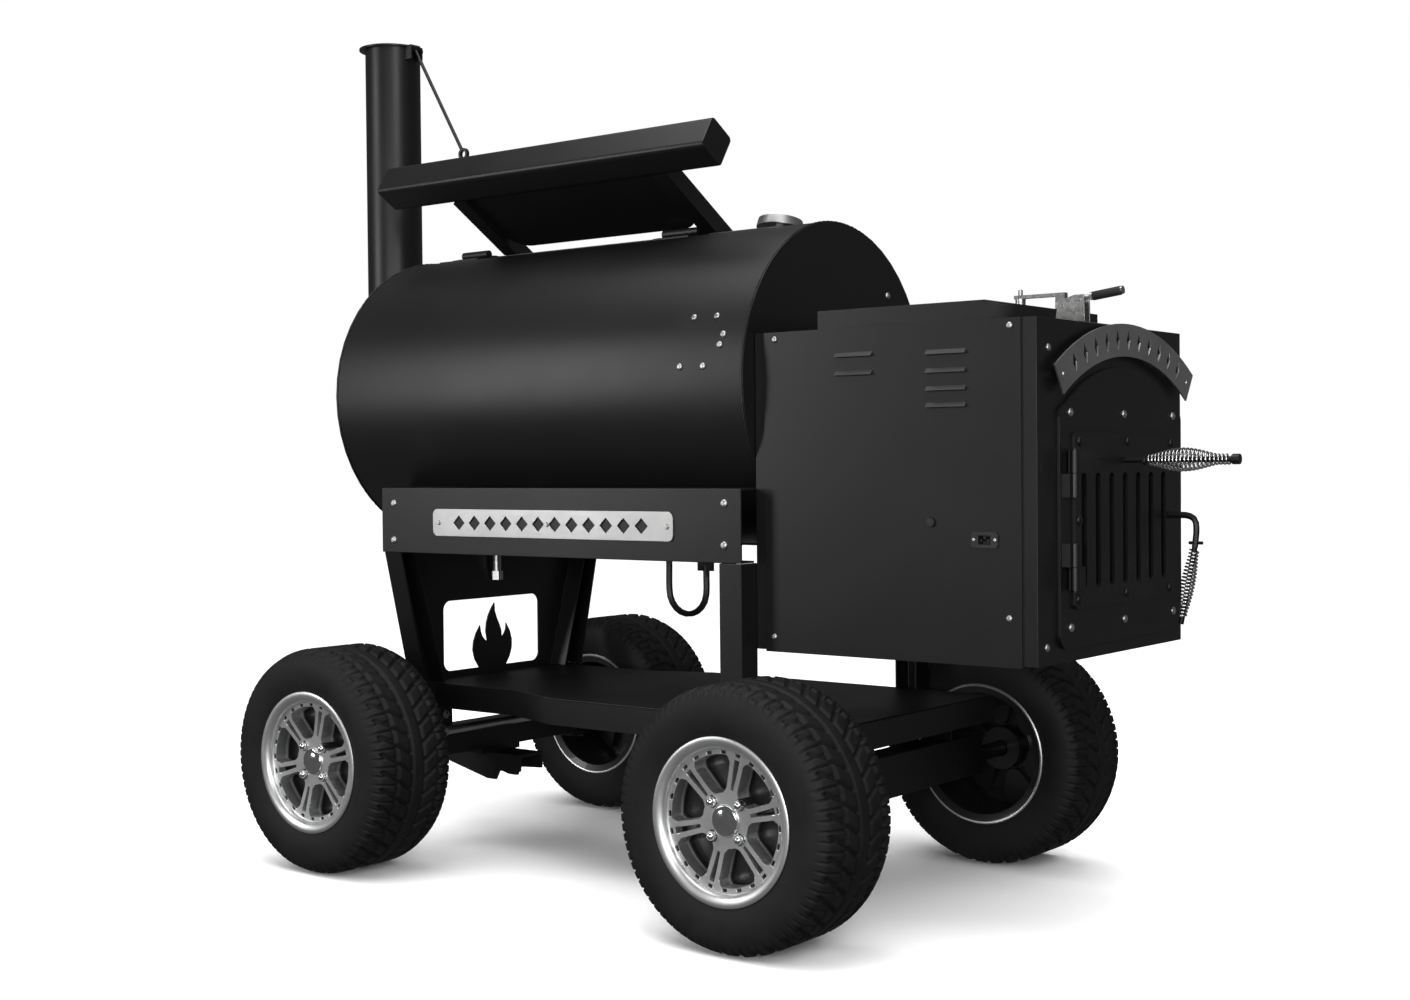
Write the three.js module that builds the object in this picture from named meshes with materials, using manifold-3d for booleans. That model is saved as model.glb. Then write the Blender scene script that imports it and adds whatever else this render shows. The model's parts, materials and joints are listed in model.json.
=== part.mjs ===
// Pellet-fed barrel smoker on a four-wheeled steering cart.
//
// Frame: millimetres, +Z up, ground at z = 0. X runs along the barrel and + is the hopper end.
// The cart steers at the stack end, which is its front. -Y is the left, or service, side and +Y is
// the right, or cook's, side, where the barrel lid opens. The exported group is shifted along X so
// that its origin is the middle of its footprint on the ground.

import * as THREE from 'three';
import { mergeVertices } from 'three/addons/utils/BufferGeometryUtils.js';
import Module from 'manifold-3d';

const wasm = await Module();
wasm.setup();

// ---------------------------------------------------------------- driving dimensions

const GAP = 0.3;                       // left between pieces that touch
const SHEET = 3;                       // folded sheet steel
const PLATE = 5;                       // barrel and bracket plate
const DEG = Math.PI / 180;

const BARREL = { radius: 311, wall: 5, front: -603, back: 499, axisZ: 979.5, sides: 48 };
const LID = {
  front: -590, back: 376,              // ends of the edge strip
  lowAngle: -8, highAngle: 91.3,       // opening, in degrees up from +Y
  overlap: 15, strip: 4, edgeGap: 1.5, lift: 0.5,
};
const HINGE = { y: -22, pin: 5, knuckle: 9, leaf: 3, spans: [[-498, -420], [84, 176]] };
const WEIGHT = { side: 70, front: -560, back: 345, y: -180, z: 1439, tilt: 32 };
const ARM = { side: 36, fronts: [-381, 178] };

const STACK = { x: -751, radius: 63.5, wall: 3, bottom: 840, top: 1800 };
const FLUE = { halfWidth: 50, bottom: 860, top: 1000, wall: 4 };
const FLAP = { radius: 74, thick: 4, pivotX: -677, pivotZ: 1797, rodReach: [152, -252] };

const CABINET = { front: 500, back: 1065.5, left: -275, right: 290, bottom: 492, top: 1062 };
const SERVICE = { front: 522, back: 1038, bottom: 489, top: 1062, thick: 2.7 };
const LOUVRE = { length: 77, height: 9, depth: 6 };
const HOPPER = { front: 612, back: 928, left: -208, right: 220, throatZ: 925.6, throat: [735, 805, -70, 70] };
const HOPPER_LID = { margin: 12, rise: 38, hingePin: 3 };
const AUGER = { x: 770, z: 892, tube: 33, wall: 4, left: -146, right: 100, screw: 26, shaft: 8, turns: 5 };
const CHUTE = { y: 68, radius: 30, bottom: 655 };
const FIRE_POT = { radius: 52, wall: 5, height: 96 };
const LINER = { back: 1050, left: -146, right: 228, bottom: 540, top: 856 };
const DUCT = { halfWidth: 95, bottom: 700, top: 850 };     // firebox to barrel
const FAN = { x: 640, z: 610, radius: 60, front: -258, back: -208 };

const DOOR = { y: 35, halfWidth: 200, bottom: 580, top: 875, thick: 6, slotY: 26, slotPitch: 53 };
const DOOR_HOLE = { left: -140, right: 222, bottom: 600, top: 855 };
const DOOR_PLATE = { halfWidth: 243, bottom: 515, shoulder: 922, crown: 990, thick: 6 };
const DOOR_HINGE = { x: 1086, y: -182, pin: 4, knuckle: 8, height: 39, uppers: [767, 613] };
const SLOT = { width: 19, bottom: 613, top: 807, count: 7 };
const LATCH = { y: 210, z: 727, rod: 6, reach: 1130, bottom: 669, gripEnd: 533 };
const DAMPER = { y: 26, z: 828, rod: 5, inside: 1050, gripStart: 1120, gripEnd: 1270, grip: 22 };
const ARCH = { inner: 458, width: 57, halfAngle: 32.5, centreZ: 550, front: 1078, thick: 3.5 };

const RAIL = { y: 321, front: -449, back: 499.6, bottom: 648, top: 783, thick: 4, lower: 40 };
const SIGN = { front: -291, back: 345, bottom: 685, top: 740, thick: 3 };
const DECK = { half: 272, mid: 219, front: -475, crossBack: -400, taperFront: -166, taperBack: -20, back: 680,
  foot: 250, top: 361 };
const TUBE = 50;                       // deck channel height and width
const LEG = { front: 449, back: 499.6, outer: 321, inner: 272.6 };
const TOWER = { front: -449, back: -400, topOuter: 315, topInner: 272, footOuter: 249, footInner: 190 };

const WHEEL = { radius: 229.5, width: 205, y: 436, frontX: -449.5, backX: 607, rim: 144, seat: 127.5, sides: 20 };
const KINGPIN = { y: 300, pin: 9, barrel: 19, bottom: 199, top: 259 };
const SPINDLE = { radius: 15.5, end: 476 };
const STEER_ARM = { reach: 95, y: 285, z: 246, thick: 10 };
const TIE_ROD = { radius: 9, z: 266.5, eye: 14 };

// ---------------------------------------------------------------- finishes

const finish = (color, roughness, metalness) =>
  new THREE.MeshStandardMaterial({ color, roughness, metalness });

const powderCoat = finish(0x1a1a1c, 0.55, 0.1);
const greasedSteel = finish(0x2b2623, 0.6, 0.5);
const brushed = finish(0xb9bbbd, 0.35, 1.0);
const zinc = finish(0xb4b6b2, 0.4, 1.0);
const chrome = finish(0xd6d8da, 0.12, 1.0);
const alloy = finish(0xd2d4d6, 0.2, 1.0);
const tyreRubber = finish(0x161617, 0.85, 0.0);
const gripRubber = finish(0x111112, 0.7, 0.0);
const blackPlastic = finish(0x151516, 0.5, 0.0);

// ---------------------------------------------------------------- solids

function solid(geometry) {
  geometry.deleteAttribute('normal');
  geometry.deleteAttribute('uv');
  const merged = mergeVertices(geometry, 1e-4);
  return new wasm.Manifold(new wasm.Mesh({
    numProp: 3,
    vertProperties: new Float32Array(merged.attributes.position.array),
    triVerts: new Uint32Array(merged.index.array),
  }));
}

const join = (first, ...others) => others.reduce((sum, other) => sum.add(other), first);
const cut = (first, ...others) => others.reduce((rest, other) => rest.subtract(other), first);

function block(x0, x1, y0, y1, z0, z1) {
  const geometry = new THREE.BoxGeometry(x1 - x0, y1 - y0, z1 - z0);
  return solid(geometry.translate((x0 + x1) / 2, (y0 + y1) / 2, (z0 + z1) / 2));
}

// A cylinder or cone along one axis, between two places on it; u and v are its other coordinates.
function bar(axis, from, to, radius, u, v, sides = 12, endRadius = radius) {
  const geometry = new THREE.CylinderGeometry(endRadius, radius, to - from, sides);
  const middle = (from + to) / 2;
  if (axis === 'x') {
    return solid(geometry.rotateZ(-Math.PI / 2).translate(middle, u, v));
  }
  if (axis === 'y') {
    return solid(geometry.translate(u, middle, v));
  }
  return solid(geometry.rotateX(Math.PI / 2).translate(u, v, middle));
}

// A straight round bar between two points.
function strut(start, end, radius, sides = 12) {
  const a = new THREE.Vector3(...start);
  const b = new THREE.Vector3(...end);
  const along = b.clone().sub(a);
  const geometry = new THREE.CylinderGeometry(radius, radius, along.length(), sides);
  const turn = new THREE.Quaternion().setFromUnitVectors(new THREE.Vector3(0, 1, 0), along.clone().normalize());
  geometry.applyQuaternion(turn);
  return solid(geometry.translate(...a.add(b).multiplyScalar(0.5).toArray()));
}

// A round bar along a smooth curve through the points.
function bend(points, radius, steps, sides = 10) {
  const path = new THREE.CatmullRomCurve3(points.map((point) => new THREE.Vector3(...point)), false, 'centripetal');
  const section = new THREE.Shape().absarc(0, 0, radius, 0, 2 * Math.PI, false);
  return solid(new THREE.ExtrudeGeometry(section, { steps, curveSegments: sides / 2, extrudePath: path }));
}

const outline = (points) => new THREE.Shape(points.map(([u, v]) => new THREE.Vector2(u, v)));

function roundedOutline(u0, u1, v0, v1, radius) {
  const shape = new THREE.Shape();
  shape.absarc(u1 - radius, v0 + radius, radius, -Math.PI / 2, 0, false);
  shape.absarc(u1 - radius, v1 - radius, radius, 0, Math.PI / 2, false);
  shape.absarc(u0 + radius, v1 - radius, radius, Math.PI / 2, Math.PI, false);
  shape.absarc(u0 + radius, v0 + radius, radius, Math.PI, 1.5 * Math.PI, false);
  return shape;
}

// A flat shape pushed along an axis. Its own u and v are Y and Z, X and Z, or X and Y.
function push(axis, shape, from, to, curveSegments = 4) {
  const geometry = new THREE.ExtrudeGeometry(shape, { depth: to - from, bevelEnabled: false, curveSegments });
  const [x, y, z] = [new THREE.Vector3(1, 0, 0), new THREE.Vector3(0, 1, 0), new THREE.Vector3(0, 0, 1)];
  const turn = new THREE.Matrix4();
  if (axis === 'x') {
    turn.makeBasis(y, z, x).setPosition(from, 0, 0);
  } else if (axis === 'y') {
    turn.makeBasis(x, z, y.clone().negate()).setPosition(0, to, 0);
  } else {
    turn.setPosition(0, 0, from);
  }
  return solid(geometry.applyMatrix4(turn));
}

// A ring turned about the Y axis from a closed profile of [radius, y] points.
function turned(profile, sides) {
  const points = [...profile, profile[0]].map(([r, y]) => new THREE.Vector2(r, y));
  return solid(new THREE.LatheGeometry(points, sides));
}

// A solid through a row of loops of points that all have the same count, closed at both ends.
function loft(loops) {
  const count = loops[0].length;
  const positions = loops.flat(2);
  const faces = [];
  for (let i = 0; i + 1 < loops.length; i += 1) {
    for (let j = 0; j < count; j += 1) {
      const a = i * count + j;
      const b = i * count + (j + 1) % count;
      faces.push(a, b, b + count, a, b + count, a + count);
    }
  }
  const last = (loops.length - 1) * count;
  for (let j = 1; j + 1 < count; j += 1) {
    faces.push(0, j + 1, j, last, last + j, last + j + 1);
  }
  const geometry = new THREE.BufferGeometry();
  geometry.setAttribute('position', new THREE.Float32BufferAttribute(positions, 3));
  geometry.setIndex(faces);
  return solid(geometry);
}

const mirrorY = (piece) => piece.mirror([0, 1, 0]);

// ---------------------------------------------------------------- scene graph

const model = new THREE.Group();

function add(name, piece, material, parent = model) {
  const { vertProperties, triVerts } = piece.getMesh();
  const geometry = new THREE.BufferGeometry();
  geometry.setAttribute('position', new THREE.Float32BufferAttribute(vertProperties, 3));
  geometry.setIndex(new THREE.Uint32BufferAttribute(triVerts, 1));
  geometry.computeVertexNormals();
  const mesh = new THREE.Mesh(geometry, material);
  mesh.name = name;
  parent.add(mesh);
  return mesh;
}

// ---------------------------------------------------------------- barrel

// The barrel group's origin is on the barrel's axis.
const barrel = new THREE.Group();
barrel.position.z = BARREL.axisZ;
model.add(barrel);

const drum = (front, back, radius) => bar('x', front, back, radius, 0, 0, BARREL.sides);
const hoop = (front, back, inner, outer) => cut(drum(front, back, outer), drum(front - 1, back + 1, inner));

// The space between two angles about the barrel's axis, in degrees up from +Y.
function sector(front, back, low, high) {
  const reach = 2 * BARREL.radius;
  const steps = Math.ceil((high - low) / 40);
  const rim = Array.from({ length: steps + 1 }, (_, i) => {
    const angle = (low + (high - low) * i / steps) * DEG;
    return [reach * Math.cos(angle), reach * Math.sin(angle)];
  });
  return push('x', outline([[0, 0], ...rim]), front, back);
}

const arcDegrees = (length) => length / BARREL.radius / DEG;

function addBarrel() {
  const { radius, wall, front, back } = BARREL;
  const opening = sector(LID.front + LID.overlap, LID.back - LID.overlap, LID.lowAngle, LID.highAngle);
  const shell = cut(hoop(front + PLATE + GAP, back - PLATE - GAP, radius - wall, radius), opening);
  const drainHole = bar('z', -radius - 20, -radius + 40, 11, DRAIN.x, 0, 12);
  add('barrel_shell', join(cut(shell, drainHole), ...grateStays(), ...barrelHinges()), powderCoat, barrel);

  const flueHole = block(front - 1, front + PLATE + 1, -FLUE.halfWidth + FLUE.wall, FLUE.halfWidth - FLUE.wall,
    FLUE.bottom + FLUE.wall - BARREL.axisZ, FLUE.top - FLUE.wall - BARREL.axisZ);
  add('end_cap_stack', cut(drum(front, front + PLATE, radius), flueHole), powderCoat, barrel);
  const ductHole = block(back - PLATE - 1, back + 1, -DUCT.halfWidth, DUCT.halfWidth,
    DUCT.bottom - BARREL.axisZ, DUCT.top - BARREL.axisZ);
  add('end_cap_hopper', cut(drum(back - PLATE, back, radius), ductHole), powderCoat, barrel);
}

const DRAIN = { x: -429, radius: 10, wall: 3, bottom: 572 };

function addDrain() {
  const { x, radius, wall, bottom } = DRAIN;
  const top = BARREL.axisZ - BARREL.radius + 8;
  const collar = bar('z', bottom, bottom + 20, radius + 4, x, 0, 6);
  const nipple = join(bar('z', bottom, top, radius, x, 0, 12), collar);
  add('grease_drain', cut(nipple, bar('z', bottom - 1, top + 1, radius - wall, x, 0, 12)), zinc);
}

// A grate of round-ended bars across two rails and a middle stay, cut to the barrel's chord.
function grate(z, halfWidth, pitch) {
  const front = LID.front + 40;
  const back = LID.back - 40;
  const rod = 4;
  const rails = [-halfWidth, -halfWidth / 3, halfWidth / 3, halfWidth - 2 * rod]
    .map((y) => block(front, back, y, y + 2 * rod, z - 2 * rod, z));
  const count = Math.floor((back - front - rod) / pitch);
  const spacing = (back - front - rod) / count;
  const rungs = Array.from({ length: count + 1 }, (_, i) => {
    const x = front + i * spacing;
    return block(x, x + rod, -halfWidth, halfWidth, z - rod, z + rod);
  });
  return join(...rails, ...rungs);
}

const insideRadius = BARREL.radius - BARREL.wall;
const chord = (z) => Math.sqrt(insideRadius ** 2 - z ** 2);
const GRATES = { lowerZ: -55, upperZ: 110, pitch: 115, stay: 20 };

// Cross strips welded to the barrel's left wall under the upper grate, clear of the lid's skin.
function grateStays() {
  const { upperZ, stay } = GRATES;
  return [LID.front + 60, LID.back - 80].map((x) =>
    block(x, x + stay, -chord(upperZ - 12) - 2, chord(upperZ) - 6, upperZ - 12, upperZ - 8 - GAP));
}

function addBarrelInside() {
  const { lowerZ, upperZ, pitch } = GRATES;
  add('lower_grate', grate(lowerZ, chord(lowerZ - 8) - 4, pitch), greasedSteel, barrel);
  add('upper_grate', grate(upperZ, chord(upperZ + 4) * 0.62, pitch), greasedSteel, barrel);

  const length = [BARREL.front + 30, BARREL.back - 30];
  const trayZ = -150;
  const half = chord(trayZ - 6) - 6;
  const pan = block(...length, -half, half, trayZ - 6, trayZ + 14);
  const hollow = block(length[0] + 3, length[1] - 3, -half + 3, half - 3, trayZ - 3, trayZ + 20);
  const spout = block(length[0] - 1, length[0] + 40, -25, 25, trayZ - 10, trayZ + 20);
  add('heat_deflector', cut(pan, hollow, spout), greasedSteel, barrel);
}

// ---------------------------------------------------------------- barrel lid

function addLid() {
  const { radius } = BARREL;
  const { front, back, overlap, strip, edgeGap, lift, lowAngle, highAngle } = LID;
  const skinInner = radius - BARREL.wall + lift;
  const skinOuter = radius + lift + GAP;
  const stripInner = radius + lift;
  const stripOuter = stripInner + strip;
  const gapAngle = arcDegrees(edgeGap);
  const edge = arcDegrees(overlap);
  const topEdge = highAngle + arcDegrees(3);

  const skin = hoop(front + overlap + edgeGap, back - overlap - edgeGap, skinInner, skinOuter)
    .intersect(sector(front, back, lowAngle + gapAngle, highAngle - gapAngle));
  const band = hoop(front, back, stripInner, stripOuter).intersect(sector(front, back, lowAngle - edge, topEdge));
  const window = sector(front + 2 * overlap, back - 2 * overlap, lowAngle + edge, highAngle - edge / 2);
  const stem = bar('z', 0, radius + 20, 5.5, THERMO.x, 0, 12).rotate([THERMO.angle - 90, 0, 0]);
  const door = cut(join(skin, cut(band, window)), stem);

  add('lid_shell', join(door, ...lidHinges()), powderCoat, barrel);
}

const HINGE_Z = Math.sqrt(BARREL.radius ** 2 - HINGE.y ** 2) + HINGE.knuckle + GAP;

// The middle third of each hinge belongs to the barrel and the outer thirds to the lid.
const hingeMiddle = ([start, end]) => [start + (end - start) / 3 + GAP, end - (end - start) / 3 - GAP];

function barrelHinges() {
  const { y, pin, knuckle, leaf, spans } = HINGE;
  const curved = (span, low, high) =>
    hoop(...span, BARREL.radius - 1, BARREL.radius + leaf).intersect(sector(...span, low, high));
  return spans.map((span) => join(curved(span, 96.5, 101), curved(hingeMiddle(span), 93.6, 97),
    bar('x', ...hingeMiddle(span), knuckle, y, HINGE_Z), bar('x', span[0] - 2, span[1] + 2, pin, y, HINGE_Z)));
}

function lidHinges() {
  const { y, pin, knuckle, leaf, spans } = HINGE;
  const stripOuter = BARREL.radius + LID.lift + LID.strip;
  return spans.map((span) => {
    const middle = hingeMiddle(span);
    const curved = hoop(...span, stripOuter - 0.5, stripOuter + leaf).intersect(sector(...span, 84, 93.4));
    const bore = bar('x', span[0] - 1, span[1] + 1, pin + 0.4, y, HINGE_Z);
    const slot = block(middle[0] - GAP, middle[1] + GAP, y - 20, y + knuckle + 3, HINGE_Z - 20, HINGE_Z + 20);
    return cut(join(curved, bar('x', ...span, knuckle, y, HINGE_Z)), bore, slot);
  });
}

const THERMO = { x: 316, angle: 79, dial: 48, thick: 18, standOff: 14 };

// Places in the counterweight's own tilted section, where u runs down the arms and v is square to them.
function tilted(u, v) {
  const c = Math.cos(WEIGHT.tilt * DEG);
  const s = Math.sin(WEIGHT.tilt * DEG);
  return [WEIGHT.y + u * c + v * s, WEIGHT.z - BARREL.axisZ - u * s + v * c];
}

function addCounterweight() {
  const half = WEIGHT.side / 2;
  const corner = 6;
  const section = [[half, half - corner], [half - corner, half], [corner - half, half], [-half, half - corner],
    [-half, corner - half], [corner - half, -half], [half - corner, -half], [half, corner - half]];
  const beam = outline(section.map(([u, v]) => tilted(u, v)));
  add('counterweight', push('x', beam, WEIGHT.front, WEIGHT.back), powderCoat, barrel);

  const lidOuter = BARREL.radius + LID.lift + LID.strip + GAP;
  const skinOuter = BARREL.radius + LID.lift + 2 * GAP;
  const under = drum(BARREL.front, BARREL.back, skinOuter)
    .add(hoop(BARREL.front, BARREL.back, skinOuter - 4, lidOuter).intersect(sector(BARREL.front, BARREL.back, 89.5, 95)));
  const start = half + GAP;
  const reach = 320;
  const profile = [[start, -half], [reach, -half], [reach, ARM.side - half], [start, ARM.side - half]];
  const arms = ARM.fronts.map((x) =>
    cut(push('x', outline(profile.map(([u, v]) => tilted(u, v))), x, x + ARM.side), under));

  const [leftArm, rightArm] = ARM.fronts;
  const braceLow = 212;
  const round = 50;
  const braceV = -half + 14;
  const sheet = roundedOutline(leftArm + ARM.side - 1, rightArm + 1, start + 1, braceLow, round);
  const flat = push('z', sheet, 0, 5, 6);
  const tilt = WEIGHT.tilt;
  const [y, z] = tilted(0, braceV);
  const brace = flat.rotate([-tilt, 0, 0]).translate([0, y, z]);
  const squareTop = block(leftArm + ARM.side - 1, rightArm + 1, start + 1, start + round + 2, 0, 5)
    .rotate([-tilt, 0, 0]).translate([0, y, z]);
  add('counterweight_arms', join(...arms, brace, squareTop), powderCoat, barrel);
}

function addThermometer() {
  const { x, angle, dial, thick, standOff } = THERMO;
  const base = BARREL.radius + LID.lift + GAP;
  const upright = (piece) => piece.rotate([angle - 90, 0, 0]);
  const stem = bar('z', base - 110, base + standOff + 2, 4.5, x, 0, 12);
  const nut = bar('z', base + GAP, base + standOff, 13, x, 0, 6);
  const housing = bar('z', base + standOff, base + standOff + thick, dial, x, 0, 32, dial - 3);
  const recess = bar('z', base + standOff + thick - 3, base + standOff + thick + 1, dial - 6, x, 0, 32);
  add('thermometer', upright(cut(join(stem, nut, housing), recess)), brushed, barrel);
}

function addLidHandle() {
  const angle = 14;
  const { radius } = BARREL;
  const base = radius + LID.lift + 2 * GAP;
  const middle = (LID.front + LID.back) / 2;
  const half = 300;
  const axis = base + 56;
  const turn = (piece) => piece.rotate([angle - 90, 0, 0]);
  const posts = [-1, 1].map((side) => {
    const x = middle + side * (half - 40);
    return join(bar('z', base, axis, 8, x, 0, 12), bar('z', base, base + 6, 20, x, 0, 16));
  });
  const shaft = bar('x', middle - half, middle + half, 11, 0, axis, 16);
  const under = drum(BARREL.front, BARREL.back, base);
  const handle = cut(turn(join(...posts, shaft)), under);
  add('lid_handle', handle, powderCoat, barrel);
}

// ---------------------------------------------------------------- stack

function addStack() {
  const { x, radius, wall, bottom, top } = STACK;
  const duct = block(x, BARREL.front - GAP, -FLUE.halfWidth, FLUE.halfWidth, FLUE.bottom, FLUE.top);
  const passage = block(x - 1, BARREL.front + 1, -FLUE.halfWidth + FLUE.wall, FLUE.halfWidth - FLUE.wall,
    FLUE.bottom + FLUE.wall, FLUE.top - FLUE.wall);
  const around = bar('z', bottom - 1, top, radius - 1, x, 0, 32);
  const flue = cut(duct, passage, around);

  const tube = cut(bar('z', bottom, top, radius, x, 0, 32), bar('z', bottom + 4, top + 1, radius - wall, x, 0, 32));
  const inlet = block(x, x + radius + 1, -FLUE.halfWidth + FLUE.wall, FLUE.halfWidth - FLUE.wall,
    FLUE.bottom + FLUE.wall, FLUE.top - FLUE.wall);
  const { pivotX, pivotZ } = FLAP;
  const ears = [-1, 1].map((side) => block(x + radius - 6, pivotX + 8, side * 16 - 2, side * 16 + 2, pivotZ - 26, top - 0.5));
  const pin = bar('y', -18, 18, 2.4, pivotX, pivotZ, 10);
  add('stack_pipe', join(cut(tube, inlet), ...ears, pin, flue), powderCoat);
}

function addStackFlap() {
  const { radius, thick, pivotX, pivotZ, rodReach } = FLAP;
  const base = STACK.top + GAP;
  const disc = bar('z', base, base + thick, radius, pivotX - 5 - radius, 0, 32);
  const tab = block(pivotX - 30, pivotX, -13, 13, base, base + thick);
  const knuckle = bar('y', -13, 13, 8, pivotX, pivotZ, 16);
  const clear = bar('y', -14, 14, 3, pivotX, pivotZ, 10);
  const end = [pivotX + rodReach[0], 0, pivotZ + rodReach[1]];
  const rod = strut([pivotX + 4, 0, pivotZ - 6], end, 4, 10);
  const ring = cut(bar('y', -4, 4, 14, end[0] + 6, end[2] - 10, 16), bar('y', -5, 5, 8, end[0] + 6, end[2] - 10, 16));
  add('stack_flap', cut(join(disc, tab, knuckle, rod, ring), clear), powderCoat);
}

// ---------------------------------------------------------------- hopper cabinet

function addCabinet() {
  const { front, back, left, right, bottom, top } = CABINET;
  const outer = block(front, back, left, right, bottom, top);
  const inside = block(front + SHEET, back - SHEET, left + SHEET, right - SHEET, bottom + SHEET, top - SHEET);
  const rearWindow = block(SERVICE.front + 12, SERVICE.back - 12, left - 1, left + SHEET + 1, bottom + 20, top - 20);
  const bin = block(HOPPER.front - GAP, HOPPER.back + GAP, HOPPER.left - GAP, HOPPER.right + GAP, top - SHEET - 1, top + 1);
  const doorway = block(back - SHEET - 1, back + 1, DOOR_HOLE.left, DOOR_HOLE.right, DOOR_HOLE.bottom, DOOR_HOLE.top);
  const duct = block(front - 1, front + SHEET + 1, -DUCT.halfWidth, DUCT.halfWidth, DUCT.bottom, DUCT.top);
  const controls = push('y', roundedOutline(...CONTROLS.hole, 4), right - SHEET - 1, right + 1);
  add('cabinet_shell', cut(outer, inside, rearWindow, bin, doorway, duct, controls), powderCoat);
}

const CONTROLS = { hole: [660, 860, 872, 952], plate: [645, 875, 857, 967], thick: 4, depth: 40 };
const INLET = { x: 970.5, z: 698, width: 50, height: 27 };
const BREAKER = { x: 868, z: 726, radius: 8 };

const LOUVRES = [[714.5, [1016, 984]], [898.5, [1013, 982, 952, 924]]]
  .flatMap(([x, heights]) => heights.map((z) => [x, z]));

function addServicePanel() {
  const face = CABINET.left - GAP;
  const skin = face - SERVICE.thick;
  const sheet = block(SERVICE.front, SERVICE.back, skin, face, SERVICE.bottom, SERVICE.top);
  const half = LOUVRE.length / 2;
  const tall = LOUVRE.height / 2;
  const wedge = (x, z, inset) => push('x', outline([
    [skin + 1, z - tall - inset], [skin - LOUVRE.depth + inset, z - tall - inset],
    [skin + 1, z + tall - 2 * inset]].reverse()), x - half + inset, x + half - inset);
  const hoods = LOUVRES.map(([x, z]) => wedge(x, z, 0));
  const mouths = LOUVRES.map(([x, z]) => join(wedge(x, z, 1.2),
    block(x - half + 2, x + half - 2, skin, face + 1, z - tall, z + tall - 4)));
  const inletHole = block(INLET.x - 15, INLET.x + 15, skin - 1, face + 1, INLET.z - 11, INLET.z + 11);
  const breakerHole = bar('y', skin - 1, face + 1, BREAKER.radius + GAP, BREAKER.x, BREAKER.z, 16);
  add('service_panel', cut(join(sheet, ...hoods), ...mouths, inletHole, breakerHole), powderCoat);

  const flange = push('y', roundedOutline(INLET.x - INLET.width / 2, INLET.x + INLET.width / 2,
    INLET.z - INLET.height / 2, INLET.z + INLET.height / 2, 6), skin - 2.5, skin - GAP);
  const body = block(INLET.x - 14, INLET.x + 14, skin - 1, skin + 26, INLET.z - 10, INLET.z + 10);
  const socket = block(INLET.x - 11.5, INLET.x + 11.5, skin - 3, skin + 15, INLET.z - 7.5, INLET.z + 7.5);
  const blades = [[-7, -1], [0, 3], [7, -1]].map(([x, z]) =>
    block(INLET.x + x - 1, INLET.x + x + 1, skin, skin + 16, INLET.z + z - 2, INLET.z + z + 2));
  const inlet = join(cut(join(flange, body), socket), ...blades);

  add('power_inlet', inlet, blackPlastic);
  const cap = bar('y', skin - 4, skin + 12, BREAKER.radius - GAP, BREAKER.x, BREAKER.z, 16);
  add('breaker_button', cap, gripRubber);
}

function addControls() {
  const face = CABINET.right + GAP;
  const { plate, hole, thick, depth } = CONTROLS;
  const cover = push('y', roundedOutline(...plate, 10), face, face + thick);
  const [x0, x1, z0, z1] = hole;
  const box = block(x0 + 2, x1 - 2, face - depth, face + 1, z0 + 2, z1 - 2);
  const hollow = block(x0 + 5, x1 - 5, face - depth - 1, face - 2, z0 + 5, z1 - 5);
  const middle = (z0 + z1) / 2;
  const screen = block(x0 + 18, x0 + 110, face + 1, face + thick + 1, middle - 22, middle + 22);
  const shaft = bar('y', face - 1, face + thick + 1, 4, x1 - 35, middle, 12);
  add('control_panel', cut(join(cover, box), hollow, screen, shaft), blackPlastic);
  const skirt = bar('y', face + thick + GAP, face + thick + 16, 15, x1 - 35, middle, 24, 13);
  add('control_knob', join(skirt, bar('y', face + 1, face + thick + 1, 3.4, x1 - 35, middle, 12)), gripRubber);
}

// A four-sided funnel between a rectangle above and one below, each as [x0, x1, y0, y1].
function funnel(lower, zLow, upper, zHigh) {
  const loop = ([x0, x1, y0, y1], z) => [[x0, y0, z], [x1, y0, z], [x1, y1, z], [x0, y1, z]];
  return loft([loop(lower, zLow), loop(upper, zHigh)]);
}

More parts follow.
